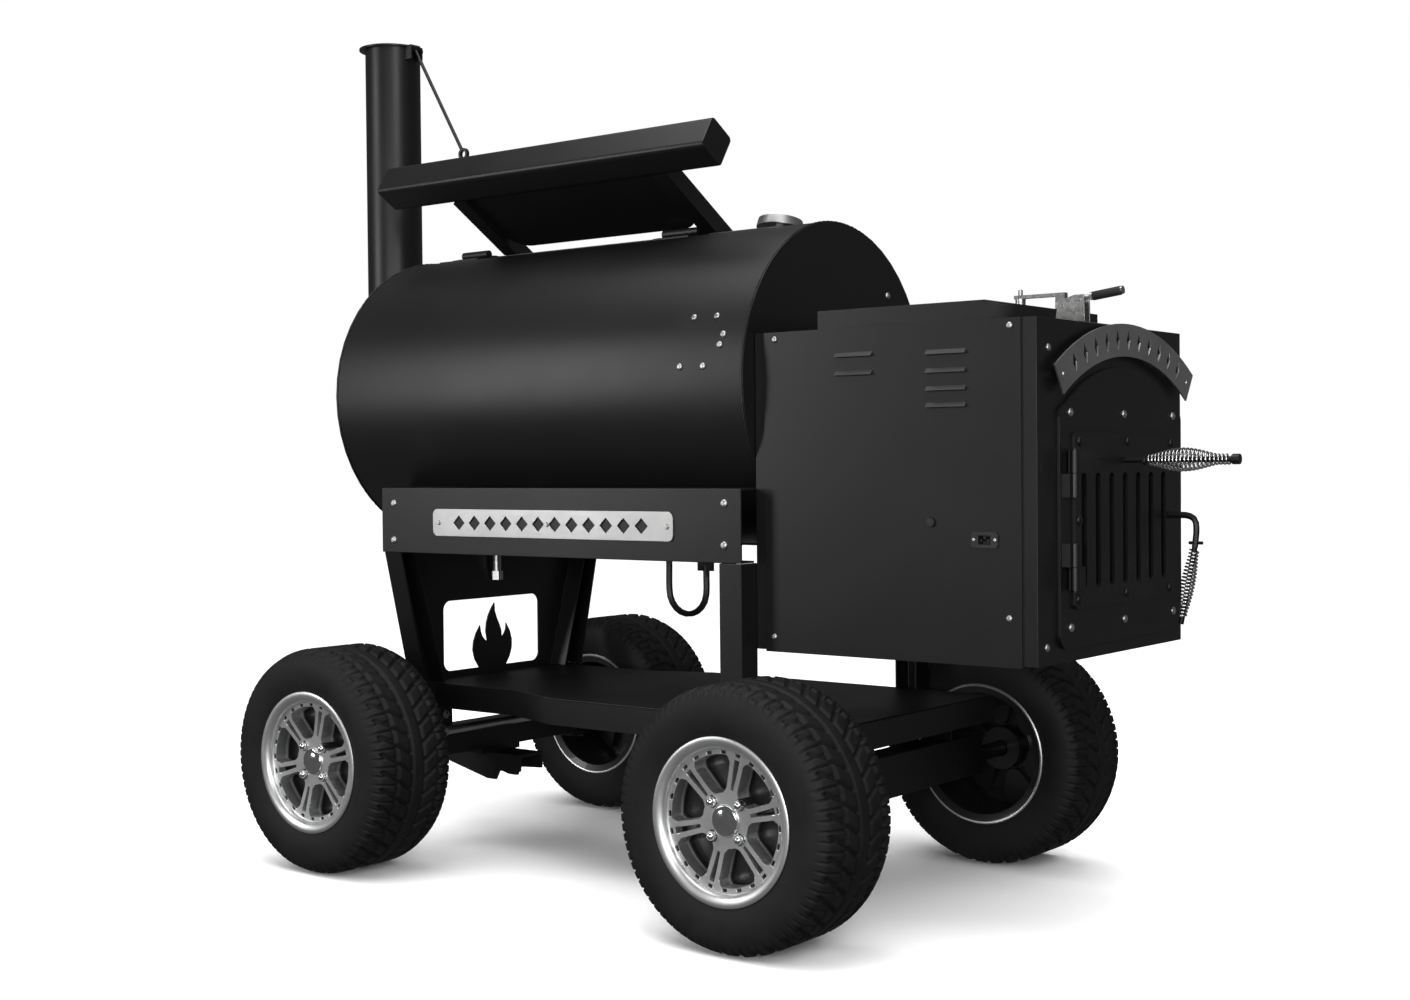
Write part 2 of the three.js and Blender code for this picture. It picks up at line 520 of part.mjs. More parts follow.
function addHopper() {
  const wall = 2;
  const mouth = [HOPPER.front, HOPPER.back, HOPPER.left, HOPPER.right];
  const shrink = ([x0, x1, y0, y1], by) => [x0 + by, x1 - by, y0 + by, y1 - by];
  const top = CABINET.top;
  const neck = top - 30;
  const { margin, rise, hingePin } = HOPPER_LID;
  const cover = shrink(mouth, -margin);
  const floor = top + 2 * GAP;
  const chamfer = 26;
  const lidOutline = (grow) => {
    const [x0, x1, y0, y1] = shrink(cover, grow);
    return outline([[x0, y0], [x1, y0], [x1, y1 - chamfer], [x1 - chamfer, y1], [x0, y1]]);
  };
  const rim = push('z', lidOutline(wall + 2), top + GAP, top + GAP + wall);
  const outer = join(rim, block(...mouth, neck, top + 1.5 * GAP), funnel(HOPPER.throat, HOPPER.throatZ, mouth, neck));
  const inner = join(block(...shrink(mouth, wall), neck - 0.01, top + 5),
    funnel(shrink(HOPPER.throat, wall), HOPPER.throatZ - 0.5, shrink(mouth, wall), neck));

  const guard = shrink(mouth, wall / 2);
  const z = neck + 12;
  const bars = Array.from({ length: 5 }, (_, i) => {
    const x = guard[0] + (guard[1] - guard[0] - 4) * i / 4;
    return block(x, x + 4, guard[2], guard[3], z, z + 4);
  });
  const cross = [0.32, 0.66].map((share) => {
    const y = guard[2] + (guard[3] - guard[2]) * share;
    return block(guard[0], guard[1], y, y + 4, z, z + 4);
  });
  add('hopper_bin', join(cut(outer, inner), ...bars, ...cross), powderCoat);

  const shell = cut(push('z', lidOutline(0), floor, top + rise), push('z', lidOutline(wall), floor - 1, top + rise - wall));
  const pinX = cover[0] - 6;
  const pinZ = top + 7;
  const spans = [cover[2] + 60, cover[3] - 100];
  const knuckles = spans.map((y) => join(bar('y', y + 14, y + 40, 6, pinX, pinZ, 12),
    block(pinX, cover[0] + 1, y + 14, y + 40, pinZ - 2, pinZ + 4)));
  const bores = spans.map((y) => bar('y', y - 1, y + 55, hingePin + 0.4, pinX, pinZ, 12));
  add('hopper_lid', cut(join(shell, ...knuckles), ...bores), powderCoat);
  const leaves = spans.map((y) => join(bar('y', y, y + 54, hingePin, pinX, pinZ, 12),
    bar('y', y, y + 13.5, 6, pinX, pinZ, 12), bar('y', y + 40.5, y + 54, 6, pinX, pinZ, 12),
    block(pinX - 26, pinX, y, y + 13.5, top - 1, top + 3), block(pinX - 26, pinX, y + 40.5, y + 54, top - 1, top + 3),
    block(pinX - 26, pinX - 8, y, y + 54, top - 1, top + 3)));
  return leaves;
}

const CLAMP = { y: -60, arm: 1008, armZ: 1095, handle: 1040, handleZ: 1104, tip: 922, gripEnd: 1116 };

function addToggleClamp() {
  const top = CABINET.top + GAP;
  const { y, arm, armZ, handle, handleZ, tip, gripEnd } = CLAMP;
  const foot = block(arm - 18, handle + 12, y - 40, y + 88, top, top + 3);
  const cheeks = [-1, 1].map((side) => push('y', outline([[arm - 14, top + 1], [handle + 10, top + 1],
    [handle + 9, handleZ + 8], [handle - 9, handleZ + 8], [arm - 8, armZ + 8]]), y + side * 10 - 1.5, y + side * 10 + 1.5));
  const pins = [bar('y', y - 13, y + 13, 3, arm, armZ, 12), bar('y', y - 13, y + 13, 3, handle, handleZ, 12)];
  add('clamp_base', join(foot, ...cheeks, ...pins), zinc);

  const lidTop = CABINET.top + HOPPER_LID.rise;
  const boss = bar('y', y - 8, y + 8, 7, arm, armZ, 16);
  const beam = join(block(tip - 10, arm - 8, y - 6, y + 6, lidTop + 12, lidTop + 18),
    block(arm - 16, arm + 2, y - 6, y + 6, armZ - 5, lidTop + 18));
  const foot2 = bar('z', lidTop + GAP, lidTop + 12, 9, tip, y, 16);
  const stud = bar('z', lidTop + 10, lidTop + 28, 4, tip, y, 12);
  const armBore = bar('y', y - 9, y + 9, 3.4, arm, armZ, 12);
  add('clamp_arm', cut(join(beam, boss, foot2, stud), armBore), zinc);

  const hub = bar('y', y - 8, y + 8, 7, handle, handleZ, 16);
  const lever = strut([handle + 4, y, handleZ + 3], [gripEnd - 34, y, handleZ + 9], 4);
  const handleBore = bar('y', y - 9, y + 9, 3.4, handle, handleZ, 12);
  const grip = strut([handle + 16, y, handleZ + 4.6], [gripEnd, y, handleZ + 12], 7, 14);
  add('clamp_lever', cut(join(hub, lever, grip), handleBore), zinc);
}

// ---------------------------------------------------------------- pellet feed and firebox

function addFeed() {
  const { x, z, tube, wall, left, right, screw, shaft, turns } = AUGER;
  const body = bar('y', left, right, tube, x, z, 28);
  const chute = bar('z', CHUTE.bottom, z, CHUTE.radius, x, CHUTE.y, 24);
  const bore = bar('y', left - 1, right - wall, tube - wall, x, z, 28);
  const drop = bar('z', CHUTE.bottom - 1, z, CHUTE.radius - wall, x, CHUTE.y, 24);
  const [x0, x1, y0, y1] = HOPPER.throat;
  const mouth = block(Math.max(x0 + 4, x - 22), Math.min(x1 - 4, x + 22), y0 + 4, y1 - 30, z, z + tube + 1);
  const tubeCut = cut(join(body, chute), bore, drop, mouth);
  add('auger_tube', tubeCut, greasedSteel);

  const flightStart = left + 6;
  const flightEnd = CHUTE.y - CHUTE.radius + 10;
  const steps = turns * 8;
  const sections = Array.from({ length: steps + 1 }, (_, i) => {
    const angle = 2 * Math.PI * turns * i / steps;
    const y = flightStart + (flightEnd - flightStart) * i / steps;
    const at = (radius, offset) => [x + radius * Math.cos(angle), y + offset, z + radius * Math.sin(angle)];
    return [at(shaft - 2, -1.5), at(screw, -1.5), at(screw, 1.5), at(shaft - 2, 1.5)];
  });
  const flight = loft(sections);
  add('auger_screw', join(flight, bar('y', left + 1, flightEnd + 6, shaft, x, z, 16)), greasedSteel);

  const gearbox = block(x - 38, x + 38, left - 46, left - 4, z - 40, z + 36);
  const bell = bar('y', left - 108, left - 46, 30, x, z, 24);
  add('auger_motor', join(gearbox, bell), zinc);

  const floor = LINER.bottom + SHEET + GAP;
  const cup = cut(bar('z', floor, floor + FIRE_POT.height, FIRE_POT.radius, x, CHUTE.y, 28),
    bar('z', floor + FIRE_POT.wall, floor + FIRE_POT.height + 1, FIRE_POT.radius - FIRE_POT.wall, x, CHUTE.y, 28));
  const airHoles = Array.from({ length: 6 }, (_, i) => bar('x', 0, FIRE_POT.radius + 5, 4, 0, 0, 6)
    .rotate([0, 0, 30 + 60 * i]).translate([x, CHUTE.y, floor + 60]));
  const igniter = bar('x', x - 120, x - 30, 5.5, CHUTE.y, floor + 32, 12);
  add('fire_pot', join(cut(cup, ...airHoles), igniter), greasedSteel);
}

function addLiner() {
  const { back, left, right, bottom, top } = LINER;
  const front = CABINET.front + SHEET + GAP;
  const outer = block(front, back, left, right, bottom, top);
  const inner = block(front + SHEET, back + 1, left + SHEET, right - SHEET, bottom + SHEET, top - SHEET);
  const duct = block(front - 1, front + SHEET + 1, -DUCT.halfWidth, DUCT.halfWidth, DUCT.bottom, DUCT.top);
  const chute = bar('z', top - SHEET - 1, top + 1, CHUTE.radius + GAP, AUGER.x, CHUTE.y, 24);
  const air = block(FAN.x - 22, FAN.x + 22, left - 1, left + SHEET + 1, FAN.z - 56, FAN.z - 30);
  add('firebox_liner', cut(outer, inner, duct, chute, air), greasedSteel);
}

function addFan() {
  const { x, z, radius, front, back } = FAN;
  const wall = 3;
  const duct = (grow) => block(x - 25 + grow, x + 25 - grow, back - 40 + grow, LINER.left - GAP + (grow ? 1 : 0),
    z - 59 + grow, z - 27 - grow);
  const outer = join(bar('y', front, back, radius, x, z, 20), duct(0));
  const inner = join(bar('y', front + wall, back - wall, radius - wall, x, z, 20), duct(wall));
  const inlet = bar('y', front - 1, front + wall + 1, 30, x, z, 24);
  const shaftHole = bar('y', back - wall - 1, back + 1, 5, x, z, 12);
  const scroll = cut(outer, inner, inlet, shaftHole);

  const disc = bar('y', back - wall - 8, back - wall - 6, 50, x, z, 16);
  const hub = bar('y', back - wall - 26, back - wall - 6, 10, x, z, 16);
  const shaft = bar('y', back - wall - 8, back + 4, 3.5, x, z, 12);
  const blade = block(28, 49, -1, 1, -30, 0);
  const blades = Array.from({ length: 8 }, (_, i) => blade.rotate([0, 0, 45 * i]).rotate([-90, 0, 0])
    .translate([x, back - wall - 7, z]));
  add('fan_impeller', join(disc, hub, shaft, ...blades), blackPlastic);
  const can = cut(bar('y', back - 1, back + 34, 24, x, z, 20), bar('y', back - 2, back + 12, 5.5, x, z, 12));
  add('fan_housing', join(scroll, can), blackPlastic);
}

// ---------------------------------------------------------------- firebox door

const facePlate = CABINET.back + GAP;
const doorBack = facePlate + DOOR_PLATE.thick + GAP;
const doorFront = doorBack + DOOR.thick;

function addDoorPlate() {
  const { halfWidth, bottom, shoulder, crown, thick } = DOOR_PLATE;
  const corner = 25;
  const y0 = DOOR.y - halfWidth;
  const y1 = DOOR.y + halfWidth;
  const sag = crown - shoulder;
  const chord = halfWidth - corner;
  const archRadius = (chord ** 2 + sag ** 2) / (2 * sag);
  const half = Math.asin(chord / archRadius);
  const shape = new THREE.Shape();
  shape.absarc(y1 - corner, bottom + corner, corner, -Math.PI / 2, 0, false);
  shape.absarc(y1 - corner, shoulder - corner, corner, 0, Math.PI / 2, false);
  shape.absarc(DOOR.y, crown - archRadius, archRadius, Math.PI / 2 - half, Math.PI / 2 + half, false);
  shape.absarc(y0 + corner, shoulder - corner, corner, Math.PI / 2, Math.PI, false);
  shape.absarc(y0 + corner, bottom + corner, corner, Math.PI, 1.5 * Math.PI, false);
  const sheet = push('x', shape, facePlate, facePlate + thick, 8);
  const doorway = block(facePlate - 1, facePlate + thick + 1, DOOR_HOLE.left, DOOR_HOLE.right, DOOR_HOLE.bottom, DOOR_HOLE.top);
  const { x, y, pin, knuckle } = DOOR_HINGE;
  const plateFace = facePlate + thick - 1;
  const halves = hingeHalves();
  const leaves = halves.map(({ fixed, span }) => join(bar('z', ...fixed, knuckle, x, y, 16), bar('z', ...span, pin, x, y, 16),
    block(plateFace, x, y - 20, y, ...fixed)));
  add('door_plate', join(cut(sheet, doorway), ...leaves), powderCoat);
}

// Each hinge has one knuckle on the plate and one on the door, the plate's towards the door's middle.
function hingeHalves() {
  const { height, uppers } = DOOR_HINGE;
  const [upper, lower] = uppers;
  return [
    { fixed: [upper, upper + height], moving: [upper + height + 1, upper + 2 * height], span: [upper, upper + 2 * height + 3] },
    { fixed: [lower + height, lower + 2 * height], moving: [lower, lower + height - 1], span: [lower - 3, lower + 2 * height] },
  ];
}

function addVentDoor() {
  const { y, halfWidth, bottom, top, slotY, slotPitch } = DOOR;
  const sheet = push('x', roundedOutline(y - halfWidth, y + halfWidth, bottom, top, 8), doorBack, doorFront);
  const slots = Array.from({ length: SLOT.count }, (_, i) => {
    const middle = slotY + slotPitch * (i - (SLOT.count - 1) / 2);
    return push('x', roundedOutline(middle - SLOT.width / 2, middle + SLOT.width / 2, SLOT.bottom, SLOT.top,
      SLOT.width / 2 - 0.1), doorBack - 1, doorFront + 1, 2);
  });
  const rodHole = bar('x', doorBack - 1, doorFront + 1, DAMPER.rod + 0.6, DAMPER.y, DAMPER.z, 12);
  const latchHole = bar('x', doorBack - 1, doorFront + 1, LATCH.rod + 0.6, LATCH.y, LATCH.z, 12);
  const { x, y: pinY, pin, knuckle } = DOOR_HINGE;
  const knuckles = hingeHalves().map(({ moving }) => join(bar('z', ...moving, knuckle, x, pinY, 16),
    block(doorBack + 2, x, pinY, y - halfWidth + 20, ...moving)));
  const bore = bar('z', bottom, top, pin + 0.5, x, pinY, 16);
  add('vent_door', cut(join(sheet, ...knuckles), bore, ...slots, rodHole, latchHole), powderCoat);
}

// A low coned bolt head on an axis.
function dome(axis, from, radius, height, u, v) {
  return bar(axis, from, from + height, radius, u, v, 8, radius * 0.7);
}

function addDamper() {
  const { y, z, rod, inside, gripStart, gripEnd, grip } = DAMPER;
  const shaft = bar('x', inside - 8, gripEnd + 8, rod, y, z, 12);
  const collar = bar('x', gripStart - 8, gripStart - 2, 9, y, z, 6);
  const ball = bar('x', gripEnd + 2, gripEnd + 15, 9, y, z, 12);
  const left = DOOR_HOLE.left + 15;
  const right = DOOR_HOLE.right - 22;
  const sheet = block(inside - 4, inside, left, right, DOOR_HOLE.bottom + 10, DOOR_HOLE.top - 10);
  add('damper_rod', join(shaft, collar, ball, sheet), powderCoat);
  add('damper_grip', springGrip(gripStart, gripEnd, grip, rod + GAP).translate([0, y, z]), chrome);
}

// A coil-spring handle along X: a sleeve that swells towards its root, drawn as turned rings.
function springGrip(from, to, radius, bore) {
  const coils = 5;
  const pitch = (to - from) / coils;
  const rings = Array.from({ length: coils }, (_, i) => {
    const size = radius * [0.8, 1, 0.92, 0.8, 0.66][i];
    const a = from + i * pitch;
    return bar('x', a, a + pitch + 0.01, size, 0, 0, 12, size * 0.94);
  });
  return cut(join(...rings), bar('x', from - 1, to + 1, bore, 0, 0, 10));
}

function addLatch() {
  const { y, z, rod, reach, bottom, gripEnd } = LATCH;
  const lean = 27;
  const inner = 1056;
  const knee = bend([[inner, y, z], [reach - 40, y, z], [reach - 14, y, z - 1], [reach - 3, y, z - 8],
    [reach, y, z - 24], [reach - 3, y, bottom]], rod, 14, 8);
  const along = new THREE.Vector3(-lean, 0, gripEnd - bottom).normalize();
  const shank = strut([reach - 3, y, bottom + 1], [reach - 3 - lean, y, gripEnd - 4], rod - 1, 10);
  const crossPin = bar('x', reach - 14, reach + 12, 3, y, bottom + 8, 8);
  const tongue = block(inner - 3, inner + 3, y - 6, y + 6, z - 34, z + 8);
  add('latch_rod', join(knee, shank, crossPin, tongue), powderCoat);
  const length = bottom - gripEnd - 12;
  const sleeve = springGrip(0, length, 14, rod + 0.4);
  const turn = Math.atan2(along.z, along.x) / DEG;
  add('latch_grip', sleeve.rotate([0, -turn, 0]).translate([reach - 3 - 0.8, y, bottom - 4]), chrome);
}

function addArchSign() {
  const { inner, width, halfAngle, centreZ, front, thick } = ARCH;
  const outer = inner + width;
  const half = halfAngle * DEG;
  const shape = new THREE.Shape();
  shape.absarc(DOOR.y, centreZ, outer, Math.PI / 2 - half, Math.PI / 2 + half, false);
  shape.absarc(DOOR.y, centreZ, inner, Math.PI / 2 + half, Math.PI / 2 - half, true);
  const band = push('x', shape, front, front + thick, 12);
  const middle = inner + width / 2;
  const place = (degrees) => [DOOR.y + middle * Math.sin(degrees * DEG), centreZ + middle * Math.cos(degrees * DEG)];
  const lozenges = Array.from({ length: 11 }, (_, i) => {
    const degrees = (i - 5) * 5;
    const [u, v] = place(degrees);
    return push('x', outline([[0, -17], [7, 0], [0, 17], [-7, 0]]), front - 1, front + thick + 1)
      .rotate([-degrees, 0, 0]).translate([0, u, v]);
  });
  const studs = [-1, 1].map((side) => {
    const [u, v] = place(side * (halfAngle - 2));
    const base = Math.abs(u - DOOR.y) > DOOR_PLATE.halfWidth - 30 ? facePlate : doorBack;
    return join(bar('x', base + DOOR_PLATE.thick + GAP, front + 1, 4, u, v, 10), dome('x', front + thick - 0.5, 6, 3, u, v));
  });
  add('arch_sign', join(cut(band, ...lozenges), ...studs), brushed);
}

// ---------------------------------------------------------------- rails, legs and deck

const flangeY = Math.sqrt(BARREL.radius ** 2 - (RAIL.top - BARREL.axisZ) ** 2) + 2;

function addRails() {
  const { y, front, back, bottom, top, thick, lower } = RAIL;
  const web = block(front, back, -y, -y + thick, bottom, top);
  const upper = block(front, back, -y, -flangeY, top - thick, top);
  const foot = block(front, back, -y, -y + lower, bottom, bottom + thick);
  const left = join(web, upper, foot);
  add('rail_left', left, powderCoat);
  add('rail_right', join(mirrorY(left), tieLoop()), powderCoat);

  const face = -y - GAP;
  const sheet = push('y', roundedOutline(SIGN.front, SIGN.back, SIGN.bottom, SIGN.top, 12), face - SIGN.thick, face, 2);
  const middle = (SIGN.bottom + SIGN.top) / 2;
  const centre = (SIGN.front + SIGN.back) / 2;
  const count = 12;
  const pitch = 44;
  const marks = Array.from({ length: count }, (_, i) => {
    const x = centre + (i - (count - 1) / 2) * pitch;
    return push('y', outline([[x - 16, middle], [x, middle - 15], [x + 16, middle], [x, middle + 15]]),
      face - SIGN.thick - 1, face + 1);
  });
  const studs = [SIGN.front + 16, centre, SIGN.back - 16].map((x) => bar('y', face - SIGN.thick - 3, face - 1, 5, x, middle, 12));
  add('rail_sign', join(cut(sheet, ...marks), ...studs), brushed);
}

function addLegs() {
  const { front, back, outer, inner } = LEG;
  const foot = DECK.top - TUBE;
  const post = block(front, back, -outer, -inner, foot, RAIL.bottom - GAP);
  const left = cut(post, block(front + 4, back - 4, -outer + 4, -inner + 1, foot - 1, RAIL.bottom + 1));
  add('leg_back_left', left, powderCoat);
  add('leg_back_right', mirrorY(left), powderCoat);

  const deckTop = DECK.top + DECK_SHEET + 2 * GAP;
  const top = RAIL.bottom - GAP;
  const { topOuter, topInner, footOuter, footInner } = TOWER;
  const shape = outline([[-topOuter, top], [-footOuter, deckTop], [-footInner, deckTop], [-topInner, top]]);
  const pocket = outline([[-topOuter + 4, top + 2], [-footOuter + 4, deckTop - 2], [-footInner - 4, deckTop - 2],
    [-topInner - 4, top + 2]]);
  const tower = cut(push('x', shape, TOWER.front, TOWER.back), push('x', pocket, TOWER.front + 4, TOWER.back + 1));
  add('front_tower', join(tower, mirrorY(tower), flamePanel(deckTop, top)), powderCoat);
}

const DECK_SHEET = 2;

// A cross plate between the front legs, pierced by a window that holds a plain flame shape.
function flamePanel(bottom, top) {
  const { topInner, footInner } = TOWER;
  const low = -footInner - 1;
  const high = -topInner - 1;
  const sheet = push('x', outline([[high, top], [low, bottom], [-low, bottom], [-high, top]]), TOWER.front, TOWER.front + 4);
  const window = push('x', roundedOutline(-150, 150, bottom + 14, bottom + 168, 20), TOWER.front - 1, TOWER.front + 5);
  const base = bottom + 10;
  const flame = new THREE.Shape();
  flame.moveTo(-40, base);
  flame.bezierCurveTo(-75, base + 40, -62, base + 70, -38, base + 98);
  flame.bezierCurveTo(-36, base + 72, -26, base + 66, -16, base + 60);
  flame.bezierCurveTo(-30, base + 100, -8, base + 128, 8, base + 146);
  flame.bezierCurveTo(4, base + 110, 34, base + 96, 30, base + 66);
  flame.bezierCurveTo(40, base + 74, 46, base + 84, 44, base + 98);
  flame.bezierCurveTo(70, base + 66, 70, base + 34, 40, base);
  const motif = push('x', flame, TOWER.front, TOWER.front + 4, 5);
  return join(cut(sheet, window), motif);
}

const bothSides = (side) => outline([...side.map(([x, y]) => [x, -y]), ...side.reverse()]);

// The deck's outline drawn in by a margin; its front end is wide only where the front legs stand.
function deckOutline(by) {
  const { half, mid, front, crossBack, taperFront, taperBack, back, foot } = DECK;
  return bothSides([[front + by, foot - by], [crossBack - by, foot - by], [crossBack - by, mid - by],
    [taperFront, mid - by], [taperBack, half - by], [back - by, half - by]]);
}

function deckOpening() {
  const { half, mid, front, taperFront, taperBack, back } = DECK;
  return bothSides([[front + TUBE, mid - TUBE], [taperFront, mid - TUBE], [taperBack, half - TUBE],
    [back - TUBE, half - TUBE]]);
}

function addDeck() {
  const bottom = DECK.top - TUBE;
  const frame = push('z', deckOutline(0), bottom, DECK.top);
  const web = push('z', deckOutline(4), bottom + 4, DECK.top - 4);
  const middle = push('z', deckOpening(), bottom - 1, DECK.top + 1);
  const ties = [[-380, DECK.mid], [180, DECK.half], [WHEEL.backX - 30, DECK.half]].map(([x, half]) =>
    cut(block(x, x + 60, -half + 20, half - 20, bottom, DECK.top),
      block(x + 4, x + 56, -half, half, bottom - 1, DECK.top - 4)));
  const ring = cut(frame, web, middle);
  add('deck_frame', join(ring, ...ties), powderCoat);
  add('deck_sheet', push('z', deckOutline(3), DECK.top + GAP, DECK.top + GAP + DECK_SHEET), powderCoat);
}

// A round bar loop on a bracket under the right rail.
function tieLoop() {
  const y = RAIL.y - 10;
  const front = -187;
  const back = -64;
  const bracketBottom = 586;
  const rod = 7.5;
  const bracket = join(block(front - 6, back + 12, y - 8, y, RAIL.bottom - 14, RAIL.bottom + 2),
    block(back - 30, back + 12, y - 8, y, bracketBottom, RAIL.bottom - 10));
  const bow = [];
  const middle = (front + back) / 2;
  const swing = (back - front) / 2 - rod;
  for (let i = 0; i <= 8; i += 1) {
    const angle = Math.PI * (1 + i / 8);
    bow.push([middle + swing * Math.cos(angle), y - 4, 540 + swing * Math.sin(angle)]);
  }
  const loop = bend([[front + rod, y - 4, RAIL.bottom - 8], [front + rod, y - 4, 590], ...bow,
    [back - rod, y - 4, 570], [back - rod, y - 4, bracketBottom + 12]], rod, 20, 6);
  return join(bracket, loop);
}

// ---------------------------------------------------------------- axles, steering and wheels

function addAxles() {
  const deckBottom = DECK.top - TUBE - GAP;
  const { radius, end } = SPINDLE;
  const wheelZ = WHEEL.radius;
  const x = WHEEL.backX;
  const beam = cut(block(x - 30, x + 30, -300, 300, 199, 279), block(x - 26, x + 26, -296, 296, 198, 275));
  const spindles = [-1, 1].map((side) => bar('y', Math.min(side * 298, side * end), Math.max(side * 298, side * end), radius, x, wheelZ, 16));
  const hangers = [-1, 1].map((side) => block(x - 25, x + 25, side * 190 - 3, side * 190 + 3, 270, deckBottom));
  add('back_axle', join(beam, ...spindles, ...hangers), powderCoat);

  const { y, pin, bottom, top } = KINGPIN;
  const fx = WHEEL.frontX;
  const shell = cut(block(fx - 28, fx + 28, -y + 46, y - 46, bottom, top), block(fx - 24, fx + 24, -y + 50, y - 50, bottom - 1, top - 4));
  const ears = [-1, 1].flatMap((side) => [[bottom - 10, bottom], [top, top + 10]].map(([z0, z1]) =>
    join(block(fx - 26, fx + 26, Math.min(side * (y - 60), side * y), Math.max(side * (y - 60), side * y), z0, z1),
      bar('z', z0, z1, 25, fx, side * y, 16))));
  const pins = [-1, 1].map((side) => bar('z', bottom - 18, top + 18, pin, fx, side * y, 12));
  const posts = [-1, 1].map((side) => block(fx - 25, fx + 25, side * 150 - 3, side * 150 + 3, top - 2, deckBottom));
  const plateTop = bottom - 10;
  const shape = [[fx - 150, plateTop - 20], [fx + 20, plateTop - 60], [fx + 45, plateTop - 60], [fx + 56, plateTop - 40],
    [fx + 120, plateTop - 36], [fx + 120, plateTop], [fx - 150, plateTop]];
  const cheeks = [-1, 1].map((side) => push('y', outline(shape), side * 34 - 3, side * 34 + 3));
  const bridge = block(fx - 150, fx + 120, -34, 34, plateTop - 6, plateTop);
  const nose = block(fx - 156, fx - 149, -37, 37, plateTop - 40, plateTop);
  const saddle = block(fx - 27, fx + 27, -60, 60, plateTop - 2, bottom + 4);
  add('front_axle', join(shell, ...ears, ...pins, ...posts, saddle, ...cheeks, bridge, nose), powderCoat);
}

function addSteering() {
  const { y, pin, barrel: sleeve, bottom, top } = KINGPIN;
  const fx = WHEEL.frontX;
  const clear = 1;
  const hub = bar('z', bottom + clear, top - clear, sleeve, fx, -y, 16);
  const stub = bar('y', -SPINDLE.end, -y, SPINDLE.radius, fx, WHEEL.radius, 16);
  const shoulder = bar('y', -y - 24, -y, 22, fx, WHEEL.radius, 16);
  const { reach, y: armY, z, thick } = STEER_ARM;
  const arm = block(fx, fx + reach, -armY - 12, -armY + 12, z, z + thick);
  const armEnd = bar('z', z, z + thick, 14, fx + reach, -armY, 16);
  const bore = bar('z', bottom - 1, top + 1, pin + 0.6, fx, -y, 12);
  const left = cut(join(hub, stub, shoulder, arm, armEnd), bore);
  add('knuckle_left', left, powderCoat);
  add('knuckle_right', mirrorY(left), powderCoat);

  const rodX = fx + reach;
  const { radius, z: rodZ, eye } = TIE_ROD;
  const shaft = bar('y', -armY + 6, armY - 6, radius, rodX, rodZ, 16);
  const ends = [-1, 1].map((side) => join(bar('z', z + thick + GAP, rodZ + 10, eye, rodX, side * armY, 6),
    bar('z', rodZ + 8, rodZ + 20, 6, rodX, side * armY, 10)));
  const nuts = [-1, 1].map((side) => bar('y', side * (armY - 40) - 7, side * (armY - 40) + 7, 14, rodX, rodZ, 6));
  add('tie_rod', join(shaft, ...ends, ...nuts), zinc);
}

function tyre() {
  const { radius, width, seat } = WHEEL;
  const half = width / 2;
  const bead = seat + 1;
  const outer = [[bead, -half + 12], [bead + 20, -half + 12], [radius - 52, -half], [radius - 12, -half + 10],
    [radius, -half + 32]];
  const cavity = [[bead, -half + 28], [radius - 40, -half + 13], [radius - 14, -half + 30]];
  const mirror = (points) => points.map(([r, y]) => [r, -y]).reverse();
  return turned([...outer, ...mirror(outer), ...cavity.map(([r, y]) => [r, -y]), ...[...cavity].reverse()], WHEEL.sides);
}

// The wheel's face is on its -Y side.
function rim() {
  const { rim: flange, seat, sides } = WHEEL;
  const section = [[seat - 5, 94], [seat - 5, -94], [flange, -98], [flange, -92], [seat, -91.5], [seat, 91.5],
    [flange, 92], [flange, 98]];
  const drumRing = turned(section, sides);
  const face = -72;
  const back = -52;
  const disc = bar('y', face, back, seat - 3, 0, 0, sides);
  const windows = [];
  for (let i = 0; i < 6; i += 1) {
    const spoke = 15 + 60 * i;
    const window = outline([[54, -13], [110, -25], [110, 25], [54, 13]]);
    windows.push(push('y', window, face - 1, back + 1).rotate([0, -spoke - 30, 0]));
  }
  const hub = bar('y', back - 1, 8, 44, 0, 0);
  const cap = bar('y', face - 18, face + 1, 24, 0, 0, 12, 28);
  const bore = bar('y', face + 8, 9, SPINDLE.radius + 0.8, 0, 0, 16);
  return cut(join(drumRing, cut(disc, ...windows), hub, cap), bore);
}

function addWheels() {
  const places = [['front_left', WHEEL.frontX, -1], ['front_right', WHEEL.frontX, 1],
    ['back_left', WHEEL.backX, -1], ['back_right', WHEEL.backX, 1]];
  for (const [name, x, side] of places) {
    const wheel = new THREE.Group();
    wheel.position.set(x, side * WHEEL.y, WHEEL.radius);
    wheel.rotation.z = side < 0 ? 0 : Math.PI;
    model.add(wheel);
    add(`tyre_${name}`, tyre(), tyreRubber, wheel);
    add(`rim_${name}`, rim(), alloy, wheel);
  }
}

// ---------------------------------------------------------------- assembly

addBarrel();
addDrain();
addBarrelInside();
addLid();
addCounterweight();
addThermometer();
addLidHandle();
addStack();
addStackFlap();
addCabinet();
addServicePanel();
addControls();
addHopper();
addToggleClamp();
addFeed();
addLiner();
addFan();
addDoorPlate();
addVentDoor();
addDamper();
addLatch();
addArchSign();
addRails();
addLegs();
addDeck();
addAxles();
addSteering();
addWheels();

model.updateMatrixWorld(true);
const extent = new THREE.Box3().setFromObject(model, true);
model.position.x = -(extent.min.x + extent.max.x) / 2;
model.updateMatrixWorld(true);

export default model;
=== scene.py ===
import json
import math
import random

import bmesh
import bpy
import numpy as np
from mathutils import Matrix, Vector


